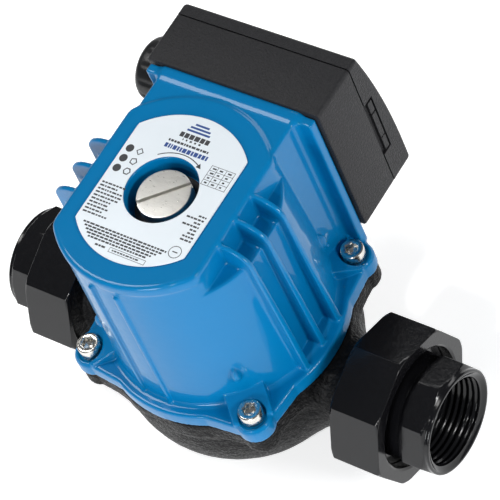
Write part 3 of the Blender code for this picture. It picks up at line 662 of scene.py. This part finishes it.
def hollow_housing(field):
    """Inside of the drum, the screw wells, all the holes, and the flange's flat underside."""
    cavity = [(-5, 40), (36, 40), (36, 109), (26.5, 113), (25.5, 122.5), (15.5, 122.5), (15.5, 113),
              (11.2, 113), (11.2, 116), (13, 116), (13, 135), (-5, 135)]
    field.cut(lambda x, y, z: outline_distance(np.hypot(x, y), z, cavity), 0.5,
              low=(-38, -38, 0), high=(38, 38, FAR))
    for degrees in DIAGONALS:
        x0 = math.copysign(SCREW_OFFSET, math.cos(math.radians(degrees)))
        y0 = math.copysign(SCREW_OFFSET, math.sin(math.radians(degrees)))
        near = {"low": (x0 - 8, y0 - 8, 0), "high": (x0 + 8, y0 + 8, 64)}
        field.cut(lambda x, y, z: overlap(0.1, np.hypot(x - x0, y - y0) - SCREW_WELL_RADIUS,
                                          SCREW_SEAT - z), 0.3, **near)
        field.cut(lambda x, y, z: np.hypot(x - x0, y - y0) - SCREW_HOLE_RADIUS, **near)
    field.cut(lambda x, y, z: np.maximum(np.hypot(x, z - WIRE_HOLE[1]) - WIRE_HOLE_RADIUS, 30 - y), 0.3,
              low=(-9, 30, 87), high=(9, FAR, 105))
    for x0, z0 in BOX_SCREWS:
        field.cut(lambda x, y, z: np.maximum(np.hypot(x - x0, z - z0) - SMALL_HOLE_RADIUS, 34 - y),
                  low=(x0 - 4, 30, z0 - 4), high=(x0 + 4, FAR, z0 + 4))
    field.cut(lambda x, y, z: z - FLANGE_BOTTOM)


def make_housing():
    field = Field((-47.4, -47.4, 48.0), (47.4, 45.2, 127.4), 0.45)
    add_drum_and_pad(field)
    add_fins(field)
    add_screw_corners(field)
    add_paint_drops(field)
    hollow_housing(field)
    casting = field_piece("motor_housing_casting", field, 0.32, "motor_housing")
    present(casting, ["motor_housing"], BLUE)


def make_volute():
    field = Field((-66.2, -57.0, -1.2), (66.2, 57.0, 57.6), 0.55)

    def bowl(x, y, z):
        """Round body, drawn in towards the bottom."""
        low = np.maximum(34.0 - z, 0)
        reach = np.sqrt((np.hypot(x, y) / 44.8) ** 2 + (low / 42.5) ** 2)
        return overlap(1.6, (reach - 1) * 43.5, -z, z - 48.0)

    field.add(bowl, high=(FAR, FAR, 52))
    ears = flange_outline(-0.5)
    field.add(lambda x, y, z: overlap(0.9, outline_distance(x, y, ears), between(z, 41.0, 52.0)), 3.5,
              low=(-FAR, -FAR, 34), high=(FAR, FAR, 56))

    def necks(x, y, z):
        """Both pipes, from the bowl to the ports."""
        reach = np.abs(x)
        height = np.interp(reach, (28, 38, 46, 51), (29.0, 30.0, 31.8, PIPE_Z)).astype(np.float32)
        radius = np.interp(reach, (28, 38, 46, 51, 54, 57.5), (18.5, 17.5, 16.2, 16.6, 16.8, 17.6))
        tube = np.hypot(y, z - height) - radius.astype(np.float32)
        return overlap(0.5, tube, 28 - reach, reach - 60)

    field.add(necks, 7.0)
    field.cut(lambda x, y, z: overlap(0.1, 48.7 - z, np.hypot(x, y) - 57.0))

    def thread(x, y, z):
        """Outer thread of a port."""
        reach = np.abs(x)
        turn = np.arctan2(z - PIPE_Z, y)
        depth = 0.38 * np.cos(math.tau * reach / PIPE_PITCH - turn)
        return overlap(0.4, (np.hypot(y, z - PIPE_Z) - 23.3 - depth) * 0.8, between(reach, 57.5, 65.0))

    for low, high in ((-FAR, -54), (54, FAR)):
        field.add(thread, 0.6, low=(low, -30, 0), high=(high, 30, FAR))
    chamber = [(-5, 32), (33, 32), (33, 45), (39.3, 45), (39.3, 70), (-5, 70)]
    field.cut(lambda x, y, z: outline_distance(np.hypot(x, y), z, chamber), 0.4, low=(-44, -44, 28),
              high=(44, 44, FAR))
    field.cut(lambda x, y, z: overlap(0.1, np.hypot(x, y) - 12.0, between(z, 6.0, 33.5)), 0.5,
              low=(-15, -15, 0), high=(15, 15, FAR))
    slope = [(-46.0, 19.5), (1.0, 6.5), (1.0, 24.0), (-33.0, 30.0), (-46.0, 34.0)]
    field.cut(lambda x, y, z: overlap(2.0, outline_distance(x, z, slope), np.abs(y) - 8.0), 1.0,
              low=(-50, -12, 0), high=(6, 12, 40))
    for side, start in ((-1, 38.5), (1, 28.0)):
        field.cut(lambda x, y, z: overlap(0.1, np.hypot(y, z - PIPE_Z) - PORT_RADIUS, start - side * x), 0.5,
                  low=(-FAR, -16, 14), high=(FAR, 16, 52))
    for x0 in (-SCREW_OFFSET, SCREW_OFFSET):
        for y0 in (-SCREW_OFFSET, SCREW_OFFSET):
            field.cut(lambda x, y, z: overlap(0.1, np.hypot(x - x0, y - y0) - SCREW_HOLE_RADIUS,
                                              42.5 - z), 0.2,
                      low=(x0 - 5, y0 - 5, 38), high=(x0 + 5, y0 + 5, FAR))
    casting = field_piece("volute_casting", field, 0.45, "volute_casing", 0.16)
    present(casting, ["volute_casing"], IRON)


# Unions

def thread_rings(start, end, radius, depth, side):
    """Profile of an internal thread between two distances along its axis; the side is its hand."""
    steps = int(abs(end - start) / (PIPE_PITCH / 8))
    profile = []
    for step in range(steps + 1):
        along = start + (end - start) * step / steps
        fade = min(1.0, step / 5, (steps - step) / 5)
        profile.append((along, lambda angles, along=along, fade=fade: radius + depth * fade * (
            0.5 + 0.5 * np.cos(math.tau * along / PIPE_PITCH - side * angles))))
    return profile


def capped(corner, limit):
    """Octagon whose corners are turned down to a round limit."""
    return lambda angles: np.minimum(polygon_reach(angles, corner, 8), limit)


def make_unions():
    for side, name in ((-1, "inlet"), (1, "outlet")):
        place = sideways(side, 0.0, PIPE_Z)
        nut = [(76.0, 23.0), (76.0, capped(NUT_CORNER, 28.0)), (75.5, capped(NUT_CORNER, 28.6)),
               (74.9, capped(NUT_CORNER, 29.0)), (57.6, capped(NUT_CORNER, 29.0)),
               (57.0, capped(NUT_CORNER, 28.6)), (56.5, capped(NUT_CORNER, 28.0)), (56.5, 25.2),
               (57.4, 24.3)]
        nut += thread_rings(57.6, 70.6, 24.1, 0.7, -1)
        nut += [(71.3, 24.3), (71.3, 22.2), (75.5, 22.2)]
        thing = turned(name + "_nut_octagon", nut, 96, place, True, 30, (0.30, 2, 28))
        present(thing, [name + "_union_nut"], UNION)
        tail = [(67.3, 15.0), (67.3, 23.1), (67.6, 23.4), (70.7, 23.4), (71.0, 23.1), (71.0, 19.0),
                (71.4, 18.6), (78.4, 18.6), (79.0, 19.2), (79.4, capped(TAIL_CORNER, 19.9)),
                (80.0, capped(TAIL_CORNER, 20.5)), (80.7, capped(TAIL_CORNER, 21.0)),
                (88.0, capped(TAIL_CORNER, 21.0)), (88.6, capped(TAIL_CORNER, 20.3)),
                (89.1, capped(TAIL_CORNER, 19.5)), (89.4, 19.2), (90.6, 19.2), (91.0, 18.9),
                (91.0, 18.2), (90.0, 17.0)]
        tail += thread_rings(89.8, 76.6, 16.1, 0.7, 1)
        tail += [(76.3, 14.4), (75.9, 14.0), (68.0, 14.0)]
        thing = turned(name + "_tail_fitting", tail, 96, place, True, 30, (0.22, 2, 32))
        present(thing, [name + "_tailpiece"], UNION)


# Fasteners, plug and label

def make_housing_screws():
    seat = SCREW_SEAT + 0.3
    top = seat + 5.0
    places = [(sx * SCREW_OFFSET, sy * SCREW_OFFSET) for sx, sy in ((-1, -1), (1, -1), (1, 1), (-1, 1))]
    for number, (x, y) in enumerate(places, 1):
        turn = 0.35 * number

        def hexagon(corner):
            return lambda angles: polygon_reach(angles + turn, corner, 6)

        profile = [(seat - 12.0, 0.0), (seat - 12.0, 1.9), (seat - 11.4, 2.5), (seat, 2.5), (seat, 4.05),
                   (seat + 0.2, 4.25), (top - 0.75, 4.25), (top - 0.30, 4.12), (top - 0.06, 3.85),
                   (top, 3.55), (top, 2.85), (top - 0.25, hexagon(2.5)), (top - 2.6, hexagon(2.4)),
                   (top - 3.2, 1.0), (top - 3.4, 0.0)]
        thing = turned("flange_screw_%d" % number, profile, 72, upward(x, y), False, 32)
        present(thing, ["housing_screw_%d" % number], ZINC)


def make_vent():
    profile = [(110.1, 5.0), (110.1, 6.4), (110.6, 6.9)]
    for step in range(1, 24):
        profile.append((110.6 + step * 0.3, 7.0 if step % 4 < 2 else 6.55))
    profile += [(118.1, 6.9), (118.1, 9.4), (118.4, 9.7), (PLUG_TOP - 0.5, 9.7), (PLUG_TOP - 0.15, 9.55),
                (PLUG_TOP, 9.2), (PLUG_TOP, 2.0), (PLUG_TOP, 0.0)]
    bottom = [(120.3, 0.0), (120.3, 4.2), (119.9, 4.6), (110.4, 4.6)]
    plug = link("vent_plug_turned", turned_mesh(bottom + profile, 96, upward(0, 0)))
    carve(plug, block_mesh((-13, -0.85, PLUG_TOP - 1.7), (13, 0.85, PLUG_TOP + 2), 44.0))
    smooth_faces(plug, 30)
    soften(plug, 0.14, 2, 40)
    present(plug, ["vent_plug"], NICKEL)
    seal = [(116.3, 7.4), (116.3, 11.8), (116.6, 12.15), (117.4, 12.15), (117.8, 11.8), (117.8, 7.4)]
    ring = turned("vent_seal_ring", seal, 72, upward(0, 0), True, 40)
    present(ring, ["vent_seal"], RUBBER)


def make_label_plate():
    low, high = LABEL_BOTTOM, LABEL_TOP

    def outer(angles):
        """Circle with two straight sides."""
        side = LABEL_HALF_WIDTH / np.maximum(np.abs(np.cos(angles)), 1e-6)
        return np.minimum(LABEL_RADIUS, side)

    profile = [(low, lambda a: outer(a) - 0.05), (low + 0.05, outer), (high - 0.1, outer),
               (high, lambda a: outer(a) - 0.15), (high, LABEL_HOLE_RADIUS + 0.15),
               (high - 0.1, LABEL_HOLE_RADIUS), (low, LABEL_HOLE_RADIUS)]
    plate = turned("label_foil_plate", profile, 180, upward(0, 0), True, 30)
    present(plate, ["label_plate"], LABEL)


def make_label_print():
    """Plain bars, dots and frames where a label has its print."""
    marks = random.Random(LABEL_SEED)
    ink = []
    blue = []
    base, face = LABEL_TOP - PRINT_DEPTH, LABEL_TOP + PRINT_HEIGHT

    def bar(store, x, y, width, height):
        store.append(block_mesh((x, y - height / 2, base), (x + width, y + height / 2, face)))

    def line_of_words(store, x_start, x_end, y, height, longest, gap):
        """Row of plain bars of random lengths that stands for a line of small print."""
        x = x_start
        while x < x_end - 0.5:
            width = min(marks.uniform(0.35, 1.0) * longest, x_end - x)
            bar(store, x, y, width, height)
            x += width + gap

    for row, half in enumerate((4.6, 4.0, 2.8)):
        bar(blue, -half, 23.9 + row * 1.35, 2 * half, 0.75)
    line_of_words(ink, -6.0, 5.8, 21.6, 1.9, 2.0, 0.35)
    line_of_words(ink, -4.0, 4.0, 19.9, 0.7, 0.9, 1.0)
    line_of_words(ink, -8.6, 7.6, 18.2, 0.85, 1.6, 0.3)
    line_of_words(blue, -8.8, 8.8, 16.0, 1.7, 1.5, 0.35)
    for row in range(5):
        bar(ink, 11.6, 14.5 - row * 1.9, 9.6, 0.16)
    for x in (11.6, 14.3, 17.6, 21.0):
        bar(ink, x, 10.7, 0.16, 7.8)
    for row in range(4):
        for x in (12.5, 15.3, 18.6):
            bar(ink, x, 13.55 - row * 1.9, marks.uniform(0.8, 1.5), 0.6)
    for row in range(10):
        line_of_words(ink, -21.3, -21.3 + marks.uniform(7.5, 10.5), -4.6 - row * 1.36, 0.62, 1.7, 0.32)
    for row in range(5):
        reach = 18.6 - row * 1.2
        line_of_words(ink, -reach, reach - 3.2, -20.3 - row * 1.12, 0.66, 1.8, 0.32)
    line_of_words(ink, -9.6, -4.8, -26.6, 0.7, 1.6, 0.3)
    for y in (-25.8, -27.5):
        bar(ink, -3.8, y, 14.6, 0.16)
    for x in (-3.8, 10.64):
        bar(ink, x, -26.65, 0.16, 1.8)
    line_of_words(ink, -2.6, 8.6, -26.65, 0.55, 1.6, 0.3)
    for row in range(8):
        width = marks.uniform(2.6, 7.2)
        line_of_words(ink, 21.2 - width, 21.2, -4.2 - row * 1.4, 0.66, 1.5, 0.3)
    for row, y in enumerate((10.2, 6.0, 1.8)):
        disc = [(base, 0.0), (base, 1.55), (face, 1.5), (face, 0.0)]
        ink.append(turned_mesh(disc, 28, upward(-19.6, y)))
        ring = [(base, 1.05), (base, 1.5), (face, 1.5), (face, 1.05)]
        ink.append(turned_mesh(ring, 4 + row, upward(-15.4, y), True))
    seal_ring = [(base, 2.1), (base, 2.35), (face, 2.35), (face, 2.1)]
    ink.append(turned_mesh(seal_ring, 36, upward(18.2, -19.2), True))
    bar(ink, 17.2, -19.2, 2.0, 0.4)

    def curved_bar(radius, start, end, thickness, steps):
        """Part of a ring, as a closed strip."""
        stations = []
        for step in range(steps + 1):
            angle = math.radians(start + (end - start) * step / steps)
            half = thickness / 2
            section = []
            for reach, height in ((-half, base), (half, base), (half, face), (-half, face)):
                section.append(((radius + reach) * math.cos(angle), (radius + reach) * math.sin(angle),
                                height))
            stations.append(section)
        return skin_rings(stations, False)

    ink.append(curved_bar(14.5, 128.0, 60.0, 0.34, 30))
    tip = math.radians(54.0)
    root = math.radians(61.5)
    outline = [(14.5 * math.cos(tip), 14.5 * math.sin(tip)), (15.5 * math.cos(root), 15.5 * math.sin(root)),
               (13.5 * math.cos(root), 13.5 * math.sin(root))]
    ink.append(skin_rings([[(x, y, base) for x, y in outline], [(x, y, face) for x, y in outline]], False))
    for name, meshes, material in (("label_print", ink, INK), ("label_title", blue, BLUE_INK)):
        thing = merged(name, meshes)
        present(thing, [], material, "pump")


# Terminal box and gland

def rounded_rectangle(half_width, low, high, radius):
    """Closed outline in the plane of the box face."""
    points = []
    across, under, over = half_width - radius, low + radius, high - radius
    for x, z, start in ((across, over, 0), (-across, over, 90), (-across, under, 180), (across, under, 270)):
        points += arc_points(radius, start, start + 90, 6, (x, z))
    return points


def box_ring(depth, inset, radius):
    """Outline of the box at a depth, taken in by the inset."""
    outline = rounded_rectangle(BOX_HALF_WIDTH - inset, BOX_BOTTOM + inset, BOX_TOP - inset,
                                max(0.3, radius - inset))
    return [(x, depth, z) for x, z in outline]


def make_box_base():
    rings = [box_ring(44.3, 0.8, 1.6), box_ring(44.55, 0.25, 1.6), box_ring(45.1, 0.0, 1.6),
             box_ring(64.0, 0.0, 1.6), box_ring(64.3, 0.25, 1.6), box_ring(64.3, 1.95, 1.6),
             box_ring(64.0, 2.2, 2.8), box_ring(47.0, 2.2, 2.8), box_ring(46.5, 2.7, 2.8)]
    base = link("box_base_moulding", skin_rings(rings, False))
    post = [(45.8, 0.0), (45.8, 4.0), (63.2, 4.0), (63.5, 3.7), (63.5, 0.0)]
    carve(base, turned_mesh(post, 40, backward(*COVER_SCREW)), "UNION")
    carve(base, rod(50.0, 65.0, SMALL_HOLE_RADIUS, 32, backward(*COVER_SCREW)))
    carve(base, rod(43.0, 48.0, WIRE_HOLE_RADIUS, 32, backward(*WIRE_HOLE)))
    for place in BOX_SCREWS:
        carve(base, rod(43.0, 48.0, SMALL_HOLE_RADIUS, 32, backward(*place)))
    carve(base, rod(31.0, 38.0, 7.3, 40, sideways(-1, *GLAND_PLACE)))
    smooth_faces(base, 30)
    present(base, ["terminal_box_base"], BOX)


def cover_front(z):
    """Depth of the cover's face at a height: upright below, curving back above."""
    share = max(0.0, z - CURVE_START) / (BOX_TOP - CURVE_START)
    return COVER_DEPTH - CURVE_DEPTH * share ** CURVE_POWER


def make_box_cover():
    bm = bmesh.new()
    heights = [BOX_BOTTOM, CURVE_START]
    heights += [CURVE_START + (BOX_TOP - CURVE_START) * step / 12 for step in range(1, 13)]
    outline = [(SEAM, BOX_BOTTOM)] + [(cover_front(z), z) for z in heights] + [(SEAM, BOX_TOP)]
    sides = []
    for x in (-BOX_HALF_WIDTH, BOX_HALF_WIDTH):
        sides.append([bm.verts.new((x * MM, y * MM, z * MM)) for y, z in outline])
    bm.faces.new(sides[0])
    bm.faces.new(sides[1])
    for one, two in zip(range(len(outline)), list(range(1, len(outline))) + [0]):
        bm.faces.new((sides[0][one], sides[0][two], sides[1][two], sides[1][one]))
    bmesh.ops.recalc_face_normals(bm, faces=bm.faces)
    past_seam = SEAM * MM + 1e-5
    rounded = [edge for edge in bm.edges if edge.calc_face_angle(0) > math.radians(30)
               and max(vert.co.y for vert in edge.verts) > past_seam]
    bmesh.ops.bevel(bm, geom=rounded, offset=1.5 * MM, segments=5, profile=0.5, affect="EDGES")
    mesh = bpy.data.meshes.new("cover")
    bm.to_mesh(mesh)
    bm.free()
    cover = link("box_cover_moulding", mesh)
    rim = rounded_rectangle(33.3, 63.2, 124.3, 1.0)
    shell = skin_rings([[(x, 60.0, z) for x, z in rim], [(x, 67.0, z) for x, z in rim]], False)
    carve(cover, shell)
    carve(cover, rod(66.0, 71.0, 5.0, 40, backward(*COVER_SCREW)), "UNION")
    sink = [(69.5, 0.0), (69.5, 3.8), (72.3, 3.8), (78.0, 4.6), (78.0, 0.0)]
    carve(cover, turned_mesh(sink, 40, backward(*COVER_SCREW)))
    carve(cover, rod(60.0, 70.0, SMALL_HOLE_RADIUS, 32, backward(*COVER_SCREW)))
    opening = [(70.0, 0.0), (70.0, 9.6), (74.4, 9.6), (78.0, 13.0), (78.0, 0.0)]
    carve(cover, turned_mesh(opening, 64, backward(0.0, KNOB_Z)))
    for side in (-1, 1):
        recess = sorted((side * 34.3, side * 36.5))
        carve(cover, block_mesh((recess[0], 64.0, 77.0), (recess[1], 69.3, 105.6)))
        for start, end in ((78.0, 84.4), (85.0, 98.0), (98.8, 104.4)):
            tab = sorted((side * 33.6, side * 35.45))
            carve(cover, block_mesh((tab[0], 66.3, start), (tab[1], 68.5, end)), "UNION")
    smooth_faces(cover, 12)
    soften(cover, 0.18, 1, 50)
    present(cover, ["terminal_box_cover"], BOX)


def make_speed_marks():
    """One, two and three dots round the knob, for its positions."""
    marks = []
    for number, degrees in enumerate((-60, 0, 60)):
        angle = math.radians(90 + degrees)
        for dot in range(number + 1):
            spread = math.radians(6.5) * (dot - number / 2)
            x = MARK_RADIUS * math.cos(angle + spread)
            z = KNOB_Z + MARK_RADIUS * math.sin(angle + spread)
            front = cover_front(z)
            pip = [(front - 0.4, 0.0), (front - 0.4, 0.55), (front + 0.10, 0.5), (front + 0.16, 0.0)]
            marks.append(turned_mesh(pip, 12, backward(x, z)))
    pips = merged("speed_marks", marks)
    smooth_faces(pips, 40)
    present(pips, [], CREAM, "cover")


def make_knob():
    profile = [(61.8, 0.0), (61.8, 2.6), (62.1, 2.8), (71.5, 2.8), (71.5, 8.6), (71.9, 9.0), (75.1, 9.0),
               (75.5, 8.6), (75.5, 2.0), (75.5, 0.0)]
    knob = link("speed_knob_turned", turned_mesh(profile, 64, backward(0.0, KNOB_Z)))
    grip = link("helper_grip", block_mesh((-1.7, 74.8, KNOB_Z - 7.9), (1.7, 78.4, KNOB_Z + 7.9)))
    round_grip = grip.modifiers.new("round", "BEVEL")
    round_grip.width = 0.8 * MM
    round_grip.segments = 4
    settle(grip)
    carve(knob, grip.data.copy(), "UNION")
    bpy.data.objects.remove(grip)
    carve(knob, block_mesh((-0.35, 77.9, 84.0), (0.35, 79.0, 89.6)))
    smooth_faces(knob, 35)
    soften(knob, 0.12, 2, 45)
    present(knob, ["speed_knob"], GLAND)


def make_cover_screw():
    profile = [(55.3, 0.0), (55.3, 1.5), (55.8, 2.0), (69.8, 2.0), (69.8, 3.3), (70.0, 3.5), (71.0, 3.45),
               (71.5, 3.1), (71.8, 2.3), (71.8, 0.0)]
    screw = link("cover_screw_turned", turned_mesh(profile, 48, backward(*COVER_SCREW)))
    carve(screw, block_mesh((-5, 70.7, 110.45), (5, 73.0, 111.55)))
    smooth_faces(screw, 35)
    present(screw, ["cover_screw"], ZINC)


def make_gland():
    place = sideways(-1, *GLAND_PLACE)

    def facets(corner):
        """Twelve-sided outline."""
        return lambda angles: polygon_reach(angles, corner, 12)

    def grips(radius):
        """Round outline with shallow grip flutes."""
        return lambda angles: radius - 0.35 * np.maximum(np.cos(angles * 12), 0) ** 2

    body = [(29.0, 5.0), (29.0, 6.7), (29.3, 7.0), (35.8, 7.0), (35.8, facets(11.3)),
            (36.1, facets(11.5)), (39.4, facets(11.5)), (39.8, facets(11.2)), (39.8, 9.0),
            (44.7, 9.0), (45.0, 8.7), (45.0, 5.0)]
    thing = turned("gland_body_moulding", body, 72, place, True, 28, (0.15, 2, 28))
    present(thing, ["gland_body"], GLAND)
    nut = [(40.1, 9.3), (40.1, grips(11.6)), (40.5, grips(12.0)), (46.3, grips(11.95)), (47.4, 11.8)]
    for step in range(1, 7):
        angle = math.pi / 2 * step / 6
        nut.append((47.4 + 3.1 * math.sin(angle), 8.4 + 3.4 * math.cos(angle)))
    nut += [(50.5, 6.6), (50.1, 6.0), (47.3, 6.0), (47.3, 9.3)]
    thing = turned("gland_nut_moulding", nut, 144, place, True, 35)
    present(thing, ["gland_nut"], GLAND)
    seal = [(38.0, 3.6), (38.0, 4.7), (45.3, 4.7), (45.3, 8.4), (47.0, 8.2), (47.0, 4.3), (46.5, 3.6)]
    thing = turned("gland_seal_ring", seal, 72, place, True, 35)
    present(thing, ["gland_seal"], RUBBER)


# Carried-over nodes

def dress_nodes():
    """Give every CAD node its slot's finish; the small ones in the terminal box also get soft edges."""
    slots = {part["node"]: part["material_slot"] for part in frame["record"]["subparts"]}
    for name, thing in frame["nodes"].items():
        material = SLOT_FINISHES[slots[name]]
        thing.data.materials.clear()
        thing.data.materials.append(material)
        if name in ("terminal_block", "capacitor", "speed_switch", "gland_locknut", "box_screw_1",
                    "box_screw_2", "earth_screw"):
            soften(thing, 0.25, 2, 40)


# Studio

LAMP_TARGET = (0.0, 0.0, 0.07)
LAMPS = (  # name, place, size, power, colour
    ("key", (-0.50, -0.02, 0.92), 0.40, 4.2, (1.0, 0.99, 0.97)),
    ("front", (0.15, -1.05, 0.42), 0.36, 5.6, (0.95, 0.98, 1.0)),
    ("right", (1.00, 0.05, 0.55), 0.30, 6.6, (1.0, 1.0, 1.0)),
    ("glint", (0.30, -0.70, 0.95), 0.06, 2.6, (1.0, 1.0, 1.0)),
    ("back", (-0.30, 0.95, 0.75), 0.50, 2.2, (1.0, 1.0, 1.0)),
)
CAMERA_LENS = 199.735  # lens, turn and place were solved for the photo's view
CAMERA_TURN = (0.921048, 0.2421465, 0.2086505, 0.2224874)
CAMERA_PLACE = (0.478466, -0.322621, 0.832942)


def make_floor_and_sky():
    floor_material = finish("pale_floor", (0.86, 0.86, 0.86), 0.6, mottle=(3, 0.01), scatter=(5, 0.02))
    floor = link("floor", block_mesh((-3000, -3000, -40), (3000, 3000, -0.05)))
    shader = floor_material.node_tree.nodes["Principled BSDF"]
    shader.inputs["Emission Color"].default_value = (1, 1, 1, 1)
    shader.inputs["Emission Strength"].default_value = 0.56
    floor.data.materials.append(floor_material)
    world = bpy.data.worlds.new("studio")
    bpy.context.scene.world = world
    world.use_nodes = True
    sky = world.node_tree.nodes["Background"]
    sky.inputs["Color"].default_value = (0.92, 0.96, 1.0, 1)
    sky.inputs["Strength"].default_value = 0.15


def add_to_scene(name, data, place, turn):
    """Lamp or camera at a place, turned by a quaternion."""
    thing = bpy.data.objects.new(name, data)
    thing.location = place
    thing.rotation_mode = "QUATERNION"
    thing.rotation_quaternion = turn
    bpy.context.scene.collection.objects.link(thing)
    return thing


def make_lamps():
    target = Vector(LAMP_TARGET)
    for name, place, size, power, colour in LAMPS:
        lamp = bpy.data.lights.new(name, "AREA")
        lamp.shape = "DISK"
        lamp.size = size
        lamp.energy = power
        lamp.color = colour
        add_to_scene(name, lamp, place, (target - Vector(place)).to_track_quat("-Z", "Y"))


def make_camera():
    camera = bpy.data.cameras.new("camera")
    camera.sensor_width = 36.0
    camera.lens = CAMERA_LENS
    camera.clip_start = 0.05
    camera.clip_end = 20.0
    bpy.context.scene.camera = add_to_scene("camera", camera, CAMERA_PLACE, CAMERA_TURN)
    bpy.context.scene.view_settings.view_transform = "Standard"


dress_nodes()
make_housing()
make_volute()
make_unions()
make_housing_screws()
make_vent()
make_label_plate()
make_label_print()
make_box_base()
make_box_cover()
make_speed_marks()
make_knob()
make_cover_screw()
make_gland()
make_floor_and_sky()
make_lamps()
make_camera()
